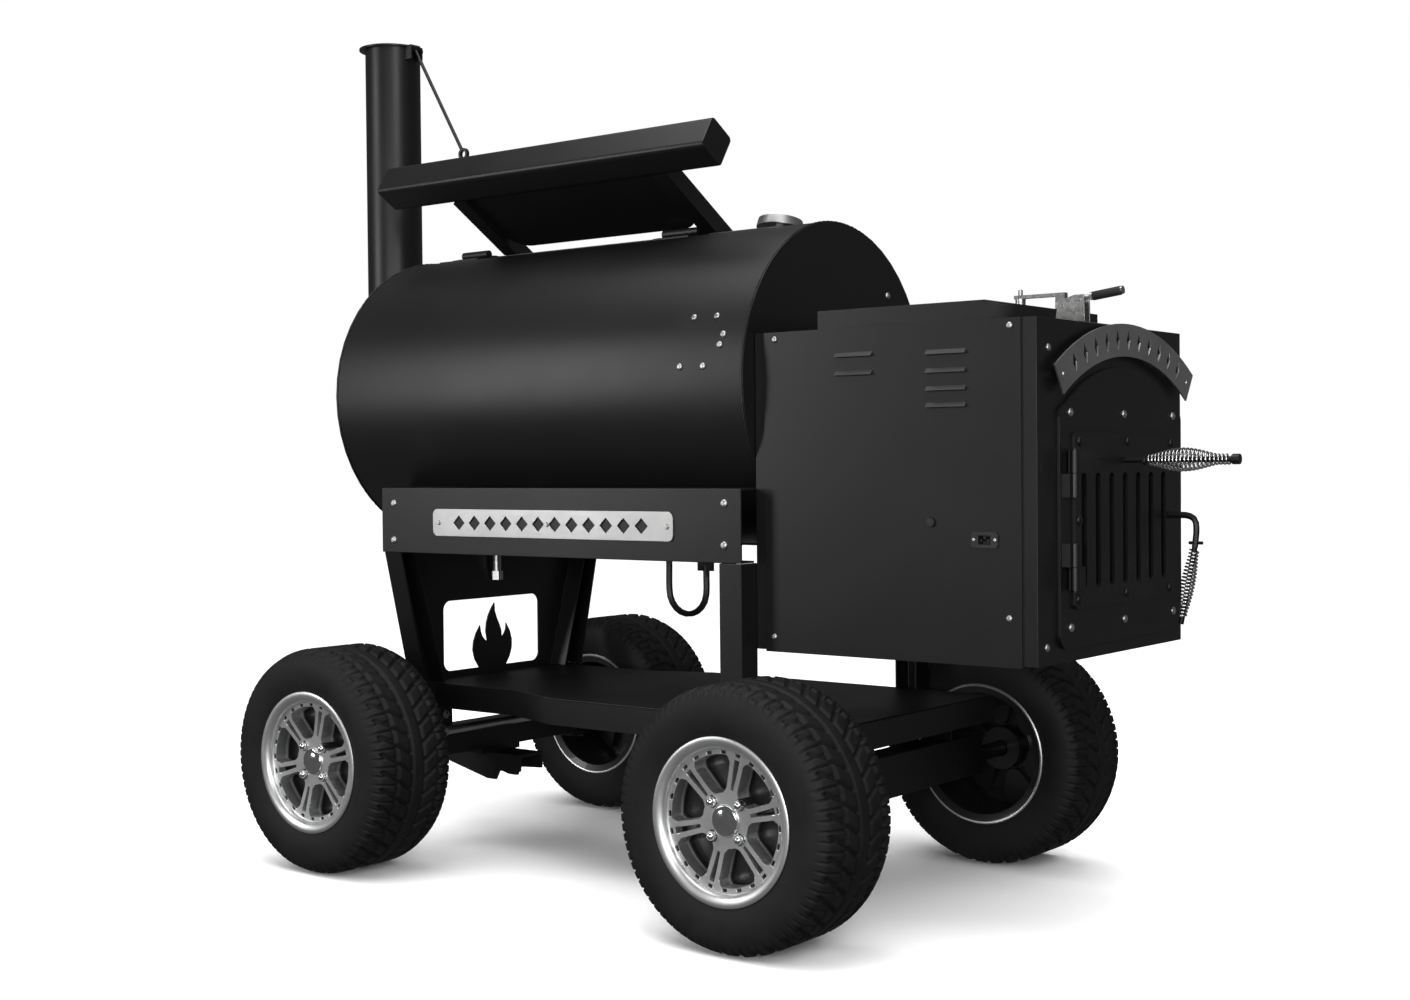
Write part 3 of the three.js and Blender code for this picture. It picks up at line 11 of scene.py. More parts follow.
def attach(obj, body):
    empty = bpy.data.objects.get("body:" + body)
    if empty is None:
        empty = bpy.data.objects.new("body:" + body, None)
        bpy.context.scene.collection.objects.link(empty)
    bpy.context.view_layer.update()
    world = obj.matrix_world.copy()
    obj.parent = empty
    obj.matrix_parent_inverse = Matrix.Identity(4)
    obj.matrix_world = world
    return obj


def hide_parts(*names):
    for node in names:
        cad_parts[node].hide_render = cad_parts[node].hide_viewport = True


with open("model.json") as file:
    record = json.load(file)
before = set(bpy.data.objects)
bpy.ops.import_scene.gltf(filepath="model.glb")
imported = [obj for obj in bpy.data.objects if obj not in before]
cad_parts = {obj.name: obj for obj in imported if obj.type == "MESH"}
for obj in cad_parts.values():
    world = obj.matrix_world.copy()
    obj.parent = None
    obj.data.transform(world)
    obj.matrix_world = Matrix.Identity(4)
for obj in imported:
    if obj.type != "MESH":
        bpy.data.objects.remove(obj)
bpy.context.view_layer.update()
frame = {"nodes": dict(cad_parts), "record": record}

# Drawing coordinates are millimetres with x measured along the barrel. The frame's origin is the
# middle of the footprint, which lies SHIFT from the drawing's.
SHIFT = -227.5
AMBIENT = 0.1
BARREL_RADIUS, BARREL_Z = 311.0, 979.5
WHEEL_RADIUS, WHEEL_Y, FRONT_AXLE_X, BACK_AXLE_X = 229.5, 436.0, -449.5, 607.0
DOOR_Y = 35.0
DOOR_FACE, DOOR_PLATE_FACE, BACK_FACE = 1078.1, 1071.8, 1065.5
SERVICE_FACE, RAIL_FACE, CONTROL_FACE = -278, 321, 294.0
WHEEL_STEPS = 720
TREAD_BLOCKS, TREAD_DEPTH = 40, 6.5
RELIEF_SPOKES, POCKET_DEPTH, SLIT_DEPTH, NOTCH_DEPTH = 6, 58.0, 30.0, 5.0


def place(x, y, z):
    return Vector(((x + SHIFT) / 1000, y / 1000, z / 1000))


# ---------------------------------------------------------------- shader expressions

class Field:
    """A socket in a material's tree that plain arithmetic can be written on."""

    def __init__(self, look, socket):
        self.look = look
        self.socket = socket

    def calc(self, operation, *others):
        return self.look.node("ShaderNodeMath", {"operation": operation},
                              {0: self, **{i + 1: o for i, o in enumerate(others)}})

    def __add__(self, other):
        return self.calc("ADD", other)

    def __radd__(self, other):
        return self.calc("ADD", other)

    def __sub__(self, other):
        return self.calc("SUBTRACT", other)

    def __rsub__(self, other):
        return self.look.node("ShaderNodeMath", {"operation": "SUBTRACT"}, {0: other, 1: self})

    def __mul__(self, other):
        return self.calc("MULTIPLY", other)

    def __rmul__(self, other):
        return self.calc("MULTIPLY", other)

    def ramp(self, low, high):
        return self.look.node("ShaderNodeMapRange", {"clamp": True},
                              {"Value": self, "From Min": low, "From Max": high})


class Look:
    """One material and the tree behind it."""

    def __init__(self, name, **settings):
        self.material = bpy.data.materials.new(name)
        self.material.use_nodes = True
        self.tree = self.material.node_tree
        self.shader = self.tree.nodes["Principled BSDF"]
        for socket, value in settings.items():
            self.shader.inputs[socket.replace("_", " ")].default_value = value

    def node(self, kind, settings, values, output=0):
        made = self.tree.nodes.new(kind)
        for key, value in settings.items():
            setattr(made, key, value)
        for key, value in values.items():
            if isinstance(value, Field):
                self.tree.links.new(value.socket, made.inputs[key])
            else:
                made.inputs[key].default_value = value
        return Field(self, made.outputs[output])

    def feed(self, socket, value):
        self.tree.links.new(value.socket, self.shader.inputs[socket])

    def where(self):
        return self.node("ShaderNodeTexCoord", {}, {}, "Object")

    def parts(self, vector):
        split = self.node("ShaderNodeSeparateXYZ", {}, {0: vector})
        outputs = split.socket.node.outputs
        return [Field(self, outputs[i]) for i in range(3)]

    def up(self):
        facing = self.node("ShaderNodeNewGeometry", {}, {}, "Normal")
        return self.parts(facing)[2]

    def noise(self, scale, detail=4.0, roughness=0.55, vector=None):
        return self.node("ShaderNodeTexNoise", {},
                         {"Vector": vector or self.where(), "Scale": scale, "Detail": detail,
                                                    "Roughness": roughness})

    def stretched(self, factors):
        return self.node("ShaderNodeVectorMath", {"operation": "MULTIPLY"},
                         {0: self.where(), 1: factors})

    def mix(self, share, first, second):
        return self.node("ShaderNodeMix", {"data_type": "RGBA"}, {0: share, 6: first, 7: second}, 2)

    def bump(self, height, strength, distance):
        self.feed("Normal", self.node("ShaderNodeBump", {},
                                      {"Strength": strength, "Distance": distance,
                                       "Height": height}))


def grey(value, tint=(1.0, 1.0, 1.0)):
    return (value * tint[0], value * tint[1], value * tint[2], 1.0)


def powder_coat():
    look = Look("satin_powder_coat", Metallic=0.0, Specular_IOR_Level=0.5)
    orange_peel = look.noise(1400.0, 2.0)
    cloud = look.noise(5.0, 5.0)
    # Faces turned up are mixed towards a lighter coat colour: a painted highlight from light falling
    # from above. The same up-facing mask also raises the roughness there, as dust would.
    dust_and_top_sheen = (look.up() - 0.25).ramp(0.0, 0.75) * (0.35 + cloud * 0.5)
    painted_top_light_coat = look.mix(dust_and_top_sheen * 0.5, grey(0.0052, (1.0, 1.0, 1.04)), grey(0.022, (1.0, 0.99, 0.98)))
    look.feed("Base Color", look.mix(cloud.ramp(0.55, 0.8) * 0.25, painted_top_light_coat, grey(0.011)))
    look.feed("Roughness", 0.3 + cloud * 0.14 + dust_and_top_sheen * 0.12 + orange_peel * 0.05)
    look.bump(orange_peel + cloud * 0.4, 0.12, 0.0006)
    return look.material


def heat_darkened():
    look = Look("heat_darkened_steel", Metallic=0.8)
    cloud = look.noise(14.0, 6.0)
    grain = look.noise(300.0, 3.0)
    look.feed("Base Color",
              look.mix(cloud.ramp(0.35, 0.7), grey(0.05, (1.0, 0.93, 0.86)),
                       grey(0.2, (1.0, 0.96, 0.9))))
    look.feed("Roughness", 0.45 + cloud * 0.3)
    look.bump(grain + cloud, 0.25, 0.0008)
    return look.material


def brushed(name, stretch):
    look = Look(name, Metallic=1.0)
    lines = look.noise(1.0, 3.0, 0.6, look.stretched(stretch))
    cloud = look.noise(9.0, 4.0)
    look.feed("Base Color",
              look.mix(cloud.ramp(0.3, 0.75), grey(0.5), grey(0.66, (1.0, 1.0, 0.99))))
    look.feed("Roughness", 0.24 + lines * 0.2 + cloud * 0.08)
    look.bump(lines, 0.18, 0.0004)
    return look.material


def zinc_plate():
    look = Look("bright_zinc", Metallic=1.0)
    spangle = look.node("ShaderNodeTexVoronoi", {}, {"Vector": look.where(), "Scale": 220.0},
                        "Color")
    flake = look.parts(spangle)[0]
    cloud = look.noise(25.0, 4.0)
    look.feed("Base Color",
              look.mix(cloud.ramp(0.3, 0.8), grey(0.44, (1.0, 1.0, 1.03)),
                       grey(0.62, (1.0, 0.99, 0.94))))
    look.feed("Roughness", 0.22 + flake * 0.1 + cloud * 0.12)
    look.bump(flake, 0.08, 0.0003)
    return look.material


def chrome_wire():
    look = Look("chrome_wire", Metallic=1.0)
    smudge = look.noise(60.0, 3.0)
    look.feed("Base Color",
              look.mix(smudge.ramp(0.4, 0.8), grey(0.72), grey(0.82, (0.99, 1.0, 1.02))))
    look.feed("Roughness", 0.06 + smudge * 0.1)
    look.bump(smudge, 0.05, 0.0002)
    return look.material


def moulded(name, level, rough):
    look = Look(name, Metallic=0.0)
    grain = look.noise(900.0, 2.0)
    cloud = look.noise(30.0, 3.0)
    look.feed("Base Color", look.mix(cloud.ramp(0.4, 0.8), grey(level), grey(level * 1.7)))
    look.feed("Roughness", rough + cloud * 0.12)
    look.bump(grain, 0.2, 0.0004)
    return look.material


def tread_rubber():
    look = Look("tread_rubber", Metallic=0.0, Specular_IOR_Level=0.35)
    grain = look.noise(700.0, 3.0)
    cloud = look.noise(16.0, 5.0)
    look.feed("Base Color",
              look.mix(cloud.ramp(0.35, 0.8), grey(0.0055), grey(0.013, (1.0, 0.99, 0.97))))
    look.feed("Roughness", 0.55 + cloud * 0.2)
    look.bump(grain + cloud * 0.5, 0.25, 0.0006)
    return look.material


def alloy():
    """Machined where the 'machined' attribute is 1 and gloss black in the pockets where it is 0."""
    look = Look("machined_alloy", Coat_Weight=0.3)
    mask = look.node("ShaderNodeAttribute", {"attribute_name": "machined"}, {}, "Fac")
    lines = look.noise(1.0, 3.0, 0.6, look.stretched((260.0, 30.0, 260.0)))
    cloud = look.noise(20.0, 3.0)
    bright = look.mix(cloud.ramp(0.3, 0.8), grey(0.8), grey(0.9, (0.99, 1.0, 1.01)))
    edge = mask.ramp(0.45, 0.6)
    look.feed("Base Color", look.mix(edge, grey(0.012), bright))
    look.feed("Metallic", edge)
    look.feed("Roughness", 0.3 + lines * 0.14 + cloud * 0.05)
    look.bump(lines, 0.08, 0.0003)
    return look.material


def dial_paint():
    look = Look("dial_paint", Metallic=0.0, Coat_Weight=0.6)
    speck = look.noise(400.0, 2.0)
    cloud = look.noise(30.0, 3.0)
    look.feed("Base Color",
              look.mix(cloud.ramp(0.4, 0.7), grey(0.78, (1.0, 0.99, 0.96)),
                       grey(0.7, (1.0, 0.99, 0.96))))
    look.feed("Roughness", 0.35 + speck * 0.1)
    look.bump(speck, 0.05, 0.0002)
    return look.material


def display_glass():
    look = Look("display_glass", Metallic=0.0, Coat_Weight=1.0)
    smudge = look.noise(40.0, 4.0)
    look.feed("Base Color",
              look.mix(smudge.ramp(0.3, 0.8), (0.006, 0.012, 0.02, 1.0), (0.012, 0.02, 0.03, 1.0)))
    look.feed("Roughness", 0.08 + smudge * 0.12)
    look.bump(smudge, 0.03, 0.0002)
    return look.material


def floor_paper():
    look = Look("floor_paper", Metallic=0.0)
    fibre = look.noise(3.0, 3.0)
    look.feed("Base Color", look.mix(fibre.ramp(0.3, 0.7), grey(0.93), grey(0.95)))
    look.feed("Roughness", 0.55 + fibre * 0.1)
    return look.material


COAT = powder_coat()
DARK_STEEL = heat_darkened()
STAINLESS = brushed("brushed_stainless", (12.0, 12.0, 420.0))
ZINC = zinc_plate()
CHROME = chrome_wire()
PLASTIC = moulded("black_plastic", 0.016, 0.42)
GRIP_RUBBER = moulded("grip_rubber", 0.012, 0.6)
RUBBER = tread_rubber()
ALLOY = alloy()
DIAL = dial_paint()
GLASS = display_glass()
SCREW = brushed("screw_stainless", (90.0, 90.0, 90.0))
BY_NODE = {"damper_rod": COAT, "latch_rod": COAT, "clamp_lever": ZINC}
BY_SLOT = {
    "powder_coat": COAT, "greased_steel": DARK_STEEL, "brushed_stainless": STAINLESS, "zinc": ZINC,
           "chrome": CHROME,
    "black_plastic": PLASTIC, "tyre_rubber": RUBBER, "machined_alloy": ALLOY,
}


# ---------------------------------------------------------------- mesh tools

def linked(name, mesh):
    piece = bpy.data.objects.new(name, mesh)
    bpy.context.scene.collection.objects.link(piece)
    return piece


def ridden(piece, body):
    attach(piece, body)
    return piece


def soften(bm, sharp_degrees, width=0.0):
    """Edges over the angle are bevelled when a width is given and the rest is shaded smooth."""
    limit = math.radians(sharp_degrees)
    if width > 0:
        edges = [e for e in bm.edges if len(e.link_faces) == 2 and e.calc_face_angle(0.0) > limit]
        bmesh.ops.bevel(bm, geom=edges, offset=width, offset_type="OFFSET", segments=2, profile=0.6,
                        affect="EDGES",
                        clamp_overlap=True)
    for face in bm.faces:
        face.smooth = True
    for edge in bm.edges:
        edge.smooth = len(edge.link_faces) == 2 and edge.calc_face_angle(0.0) < limit


def weighted(piece):
    normals = piece.modifiers.new("weighted normals", "WEIGHTED_NORMAL")
    normals.keep_sharp = True
    return piece


class Shape:
    """Loose vertices and faces gathered into one mesh, each face with its material's number."""

    def __init__(self):
        self.points = []
        self.faces = []
        self.marks = []

    def add(self, points, faces, mark=0):
        start = len(self.points)
        self.points += [tuple(p) for p in points]
        self.faces += [tuple(start + i for i in face) for face in faces]
        self.marks += [mark] * len(faces)

    def block(self, low, high, mark=0, turn=None, bevel=0.0006):
        bm = bmesh.new()
        size = [b - a for a, b in zip(low, high)]
        middle = Vector([(a + b) / 2 for a, b in zip(low, high)])
        bmesh.ops.create_cube(bm, size=1.0, matrix=Matrix.Diagonal((*size, 1.0)))
        bmesh.ops.bevel(bm, geom=list(bm.edges), offset=min(bevel, min(size) * 0.3), segments=2,
                        profile=0.6, affect="EDGES")
        bm.verts.ensure_lookup_table()
        bm.verts.index_update()
        move = turn or Matrix.Identity(4)
        self.add([move @ (v.co + middle) for v in bm.verts],
                 [[v.index for v in f.verts] for f in bm.faces], mark)
        bm.free()

    def lathe(self, profile, steps, move, mark=0):
        """profile is [radius, height] from one end of the axis to the other, along local Z."""
        points, faces = [], []
        for radius, height in profile:
            points += [move @ Vector((radius * math.cos(2 * math.pi * i / steps),
                                      radius * math.sin(2 * math.pi * i / steps),
                                      height)) for i in range(steps)]
        for ring in range(len(profile) - 1):
            for i in range(steps):
                j = (i + 1) % steps
                a, b = ring * steps, (ring + 1) * steps
                faces.append((a + i, a + j, b + j, b + i))
        if profile[0][0] > 1e-6:
            faces.append(tuple(reversed(range(steps))))
        if profile[-1][0] > 1e-6:
            last = (len(profile) - 1) * steps
            faces.append(tuple(range(last, last + steps)))
        self.add(points, faces, mark)

    def mesh(self, name, materials, sharp=35.0):
        mesh = bpy.data.meshes.new(name)
        bm = bmesh.new()
        made = [bm.verts.new(p) for p in self.points]
        for face, mark in zip(self.faces, self.marks):
            corner = []
            for i in face:
                if made[i] not in corner:
                    corner.append(made[i])
            new = bm.faces.new(corner)
            new.material_index = mark
        bmesh.ops.remove_doubles(bm, verts=bm.verts, dist=1e-6)
        bmesh.ops.dissolve_degenerate(bm, dist=1e-7, edges=bm.edges)
        bmesh.ops.recalc_face_normals(bm, faces=bm.faces)
        soften(bm, sharp)
        bm.to_mesh(mesh)
        bm.free()
        for material in materials:
            mesh.materials.append(material)
        return mesh


def axis_frame(origin, direction):
    """A matrix whose local Z lies along a direction from a point."""
    turn = Vector(direction).to_track_quat("Z", "Y").to_matrix().to_4x4()
    return Matrix.Translation(origin) @ turn


# ---------------------------------------------------------------- geometry node trees

def node_tree(name, inputs):
    tree = bpy.data.node_groups.new(name, "GeometryNodeTree")
    tree.interface.new_socket("Geometry", in_out="INPUT", socket_type="NodeSocketGeometry")
    for label, kind in inputs:
        tree.interface.new_socket(label, in_out="INPUT", socket_type=kind)
    tree.interface.new_socket("Geometry", in_out="OUTPUT", socket_type="NodeSocketGeometry")
    return tree, tree.nodes.new("NodeGroupInput"), tree.nodes.new("NodeGroupOutput")


def chained(tree, kind, values, **settings):
    made = tree.nodes.new(kind)
    for key, value in settings.items():
        setattr(made, key, value)
    for key, value in values.items():
        if isinstance(value, bpy.types.NodeSocket):
            tree.links.new(value, made.inputs[key])
        else:
            made.inputs[key].default_value = value
    return made


def wire_tree():
    tree, given, out = node_tree("swept_wire",
                                 [("Wire Radius", "NodeSocketFloat"), ("Sides", "NodeSocketInt"),
                                                ("Material", "NodeSocketMaterial")])
    path = chained(tree, "GeometryNodeMeshToCurve", {"Mesh": given.outputs["Geometry"]})
    ring = chained(tree, "GeometryNodeCurvePrimitiveCircle",
                   {"Resolution": given.outputs["Sides"], "Radius": given.outputs["Wire Radius"]})
    sweep = chained(tree, "GeometryNodeCurveToMesh",
                    {"Curve": path.outputs[0], "Profile Curve": ring.outputs[0], "Fill Caps": True})
    smooth = chained(tree, "GeometryNodeSetShadeSmooth", {"Geometry": sweep.outputs[0]})
    real = chained(tree, "GeometryNodeRealizeInstances", {"Geometry": smooth.outputs[0]})
    painted = chained(tree, "GeometryNodeSetMaterial",
                      {"Geometry": real.outputs[0], "Material": given.outputs["Material"]})
    tree.links.new(painted.outputs[0], out.inputs[0])
    return tree


def heads_tree():
    tree, given, out = node_tree("heads_on_points",
                                 [("Head", "NodeSocketObject"), ("Head Scale", "NodeSocketFloat"),
                                                     ("Material", "NodeSocketMaterial")])
    head = chained(tree, "GeometryNodeObjectInfo", {"Object": given.outputs["Head"]})
    facing = chained(tree, "GeometryNodeInputNamedAttribute", {"Name": "facing"},
                     data_type="FLOAT_VECTOR")
    size = chained(tree, "GeometryNodeInputNamedAttribute", {"Name": "size"}, data_type="FLOAT")
    product = chained(tree, "ShaderNodeMath",
                      {0: size.outputs["Attribute"], 1: given.outputs["Head Scale"]},
                      operation="MULTIPLY")
    turn = chained(tree, "FunctionNodeAlignRotationToVector",
                   {"Vector": facing.outputs["Attribute"]}, axis="Z")
    put = chained(tree, "GeometryNodeInstanceOnPoints",
                  {"Points": given.outputs["Geometry"], "Instance": head.outputs["Geometry"],
                                                         "Rotation": turn.outputs[0],
                   "Scale": product.outputs[0]})
    real = chained(tree, "GeometryNodeRealizeInstances", {"Geometry": put.outputs[0]})
    painted = chained(tree, "GeometryNodeSetMaterial",
                      {"Geometry": real.outputs[0], "Material": given.outputs["Material"]})
    tree.links.new(painted.outputs[0], out.inputs[0])
    return tree


def grown(name, seed_mesh, tree, values):
    """Runs a node tree on a mesh once and keeps the result as a plain mesh."""
    carrier = linked(name + "_seed", seed_mesh)
    modifier = carrier.modifiers.new("grow", "NODES")
    modifier.node_group = tree
    for item in tree.interface.items_tree:
        if item.in_out == "INPUT" and item.name in values:
            modifier[item.identifier] = values[item.name]
    depsgraph = bpy.context.evaluated_depsgraph_get()
    mesh = bpy.data.meshes.new_from_object(carrier.evaluated_get(depsgraph), depsgraph=depsgraph)
    mesh.name = name
    bpy.data.objects.remove(carrier)
    if not mesh.materials:
        mesh.materials.append(values["Material"])
    return linked(name, mesh)


WIRE = wire_tree()
HEADS = heads_tree()


def wire(name, path, radius, material, sides=10, closed=False):
    edges = [(i, i + 1) for i in range(len(path) - 1)]
    if closed:
        edges.append((len(path) - 1, 0))
    mesh = bpy.data.meshes.new(name + "_path")
    mesh.from_pydata([tuple(p) for p in path], edges, [])
    return grown(name, mesh, WIRE, {"Wire Radius": radius, "Sides": sides, "Material": material})


def heads(name, places, head, scale, material):
    """places holds (point, direction it faces, size) for each head."""
    mesh = bpy.data.meshes.new(name + "_points")
    mesh.from_pydata([tuple(p) for p, _, _ in places], [], [])
    mesh.attributes.new("facing", "FLOAT_VECTOR", "POINT")
    mesh.attributes.new("size", "FLOAT", "POINT")
    for i, (_, direction, amount) in enumerate(places):
        mesh.attributes["facing"].data[i].vector = Vector(direction).normalized()
        mesh.attributes["size"].data[i].value = amount
    return grown(name, mesh, HEADS, {"Head": head, "Head Scale": scale, "Material": material})


# ---------------------------------------------------------------- carried-over CAD nodes

BODY_OF = {node: body for body, nodes in frame["record"]["behaviour"]["bodies"].items()
           for node in nodes}
SLOT_OF = {entry["node"]: entry["material_slot"] for entry in frame["record"]["subparts"]}
REPLACED_BY_DETAIL = {"damper_grip", "latch_grip"} | {n for n in SLOT_OF
                                                      if n.startswith(("tyre_", "rim_"))}
WIDE_BEVEL = {"counterweight": 5.0, "cabinet_shell": 2.0, "hopper_lid": 2.0, "leg_back_left": 2.0,
              "leg_back_right": 2.0,
              "deck_frame": 1.6, "rail_left": 1.6, "counterweight_arms": 2.0}


def carried(node):
    """A cleaner copy of a CAD node: flat areas merged, edges eased, curves shaded smooth."""
    source = frame["nodes"][node].data
    bm = bmesh.new()
    bm.from_mesh(source)
    bmesh.ops.remove_doubles(bm, verts=bm.verts, dist=2e-6)
    bmesh.ops.dissolve_limit(bm, angle_limit=math.radians(0.6), verts=bm.verts, edges=bm.edges)
    soften(bm, 37.0, WIDE_BEVEL.get(node, 1.0) / 1000)
    points = [v.co.copy() for v in bm.verts]
    bm.verts.index_update()
    faces = [[v.index for v in f.verts] for f in bm.faces]
    sharp = {tuple(sorted(v.index for v in e.verts)) for e in bm.edges if not e.smooth}
    bm.free()
    mesh = bpy.data.meshes.new("finished_" + node)
    mesh.from_pydata(points, [], faces)
    mesh.materials.append(BY_NODE.get(node, BY_SLOT[SLOT_OF[node]]))
    mesh.shade_smooth()
    edge_sharp = mesh.attributes.new("sharp_edge", "BOOLEAN", "EDGE")
    for edge in mesh.edges:
        edge_sharp.data[edge.index].value = tuple(sorted(edge.vertices)) in sharp
    piece = weighted(linked("finished_" + node, mesh))
    ridden(piece, BODY_OF[node])
    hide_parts(node)


for node in SLOT_OF:
    if node not in REPLACED_BY_DETAIL:
        carried(node)


# ---------------------------------------------------------------- wheels

def ring_corners(rings):
    """Each grid cell's first corner, and the next one round, on rings of WHEEL_STEPS points."""
    starts = np.arange(rings - 1)[:, None] * WHEEL_STEPS
    steps = np.arange(WHEEL_STEPS)[None, :]
    return (starts + steps).ravel(), (starts + (steps + 1) % WHEEL_STEPS).ravel()


def tyre_mesh(name, centre, side):
    """Directional tread cut into a turned section: chevrons, a solid centre rib and shoulder sipes."""
    section = [(130.0, -90.5), (135.0, -92.0), (141.0, -92.5), (147.0, -95.5), (156.0, -99.0),
               (170.0, -101.6), (184.0, -102.3),
               (198.0, -101.0), (207.0, -98.5), (213.5, -95.0)]
    crown = [(217.5 + 11.8 * math.sin(math.pi / 2 * min(1.0, (i + 1) / 9)), -91.0 + i * 182.0 / 48)
             for i in range(25)]
    right = section + crown
    profile = right + [(r, -y) for r, y in reversed(right[:-1])]
    angles = np.arange(WHEEL_STEPS) * (2 * math.pi / WHEEL_STEPS)
    rows = []
    for radius, y in profile:
        across = abs(y)
        r = np.full(WHEEL_STEPS, radius)
        if radius > 205:
            along = angles * WHEEL_RADIUS
            pitch = 2 * math.pi * WHEEL_RADIUS / TREAD_BLOCKS
            chevron = np.mod(along - 0.62 * across + (0 if y > 0 else pitch / 2), pitch)
            cut = np.zeros(WHEEL_STEPS)
            if 13 < across < 88:
                cut = np.clip(1.6 - np.abs(chevron - pitch / 2) / 3.4, 0, 1)
            if across > 60:
                sipe = np.mod(along, pitch / 2)
                cut = np.maximum(cut, 0.75 * np.clip(1.5 - np.abs(sipe - pitch / 4) / 2.0, 0, 1))
            ring = max(0.0, min(1.0, 1.7 - abs(across - 15.5) / 2.6),
                       min(1.0, 1.6 - abs(across - 55) / 2.6))
            cut = np.maximum(cut, ring)
            r = r - TREAD_DEPTH * cut * min(1.0, (radius - 205) / 10)
        rows.append(np.stack([r * np.cos(angles), np.full(WHEEL_STEPS, y), r * np.sin(angles)], 1))
    points = np.concatenate(rows)
    points[:, 1] *= side
    points = points / 1000 + np.array(centre)
    count = len(profile)
    a, b = ring_corners(count)
    quads = np.stack([a, b, b + WHEEL_STEPS, a + WHEEL_STEPS], 1)
    if side < 0:
        quads = quads[:, ::-1]
    mesh = bpy.data.meshes.new(name)
    mesh.from_pydata(points.tolist(), [], quads.tolist())
    mesh.materials.append(RUBBER)
    mesh.shade_smooth()
    return mesh


def rim_mesh(name, centre, side):
    """The spoked face as a polar relief, the barrel and flanges as a turned ring."""
    radii = np.concatenate([np.linspace(0.4, 44, 14), np.linspace(46, 108, 44),
                            np.linspace(108.8, 122, 16)])
    angles = np.arange(WHEEL_STEPS) * (2 * math.pi / WHEEL_STEPS)
    step = 2 * math.pi / RELIEF_SPOKES
    offset = np.mod(angles - math.radians(15) + step / 2, step) - step / 2
    rows, shine = [], []
    for r in radii:
        across = np.abs(r * np.sin(offset))
        flare = 10.0 * max(0.0, (60 - r) / 15) ** 2 + 6.0 * max(0.0, (r - 98) / 12) ** 2
        outer = 12.5 + 0.055 * (r - 45) + flare
        solid = np.clip((outer - across) / 1.3, 0, 1) if 48 < r < 112 else np.ones(WHEEL_STEPS)
        slit = np.ones(WHEEL_STEPS)
        if 55 < r < 107:
            slit = np.clip((across - (1.4 + 0.055 * (r - 52))) / 1.2, 0, 1)
        notch = np.ones(WHEEL_STEPS)
        if 113.5 < r < 119:
            share = np.mod(angles * 24 / (2 * math.pi) + 0.5, 1)
            notch = np.clip((np.abs(share - 0.5) - 0.13) / 0.04, 0, 1)
        if r < 50:
            lug = np.min([np.hypot(r * np.cos(angles) - 41 * math.cos(math.radians(45 + 90 * k)),
                                   r * np.sin(angles) - 41 * math.sin(math.radians(45 + 90 * k)))
                          for k in range(4)], 0)
            notch = np.minimum(notch, np.clip((lug - 9.5) / 1.2, 0, 1))
        dish = 5.0 * max(0.0, (r - 30) / 92) ** 2
        pocket, groove = POCKET_DEPTH * (1 - solid), SLIT_DEPTH * (1 - slit) * solid
        depth = pocket + groove + NOTCH_DEPTH * (1 - notch)
        y = -78.0 - dish + depth
        rows.append(np.stack([r * np.cos(angles), y, r * np.sin(angles)], 1))
        shine.append(np.minimum(np.minimum(solid, slit), notch))
    count = len(radii)
    turned = [(122.0, -84.0), (122.6, -90.0), (128.0, -95.5), (136.0, -97.2), (141.5, -97.8),
              (143.6, -96.4), (143.6, -93.0),
              (140.0, -92.4), (129.0, -91.6), (127.5, -90.0), (127.5, 90.0), (140.0, 92.4),
              (143.6, 93.0), (143.6, 96.4),
              (141.5, 97.8), (136.0, 96.5), (124.5, 92.0), (122.0, 86.0), (122.0, -40.0),
              (60.0, -40.0), (44.0, -38.0),
              (44.0, 6.0), (17.0, 6.5)]
    bright = [1, 1, 1, 1, 1, 1, 0, 0, 0, 0, 0, 0, 1, 1, 1, 0, 0, 0, 0, 0, 0, 0, 0]
    for (r, y), value in zip(turned, bright):
        rows.append(np.stack([r * np.cos(angles), np.full(WHEEL_STEPS, y), r * np.sin(angles)], 1))
        shine.append(np.full(WHEEL_STEPS, float(value)))
    points = np.concatenate(rows)
    points[:, 1] *= -side
    points = points / 1000 + np.array(centre)
    total = count + len(turned)
    a, b = ring_corners(total)
    quads = np.stack([a, a + WHEEL_STEPS, b + WHEEL_STEPS, b], 1)
    if side > 0:
        quads = quads[:, ::-1]
    mesh = bpy.data.meshes.new(name)
    mesh.from_pydata(points.tolist(), [], quads.tolist())
    mesh.materials.append(ALLOY)
    attribute = mesh.attributes.new("machined", "FLOAT", "POINT")
    attribute.data.foreach_set("value", np.concatenate(shine).astype(np.float32))
    mesh.shade_smooth()
    mesh.set_sharp_from_angle(angle=math.radians(40))
    return mesh


def wheel_trim(name, centre, side):
    shape = Shape()
    outward = Vector((0, side, 0))
    for k in range(4):
        angle = math.radians(45 + 90 * k)
        spot = centre + Vector((41 * math.cos(angle), side * 71, 41 * math.sin(angle))) / 1000
        shape.lathe([(0.0088, 0.0), (0.0088, 0.008), (0.0082, 0.011), (0.0066, 0.0145),
                     (0.0036, 0.0168), (0.0, 0.0175)], 24,
                    axis_frame(spot, outward))
    hub = centre + Vector((0, side * 76, 0)) / 1000
    shape.lathe([(0.0275, 0.0), (0.0275, 0.004), (0.0262, 0.0062), (0.0235, 0.0072),
                 (0.0225, 0.0066), (0.018, 0.0078),
                 (0.009, 0.0098), (0.0, 0.0104)], 64, axis_frame(hub, outward))
    return linked(name, shape.mesh(name, [CHROME], 60.0))


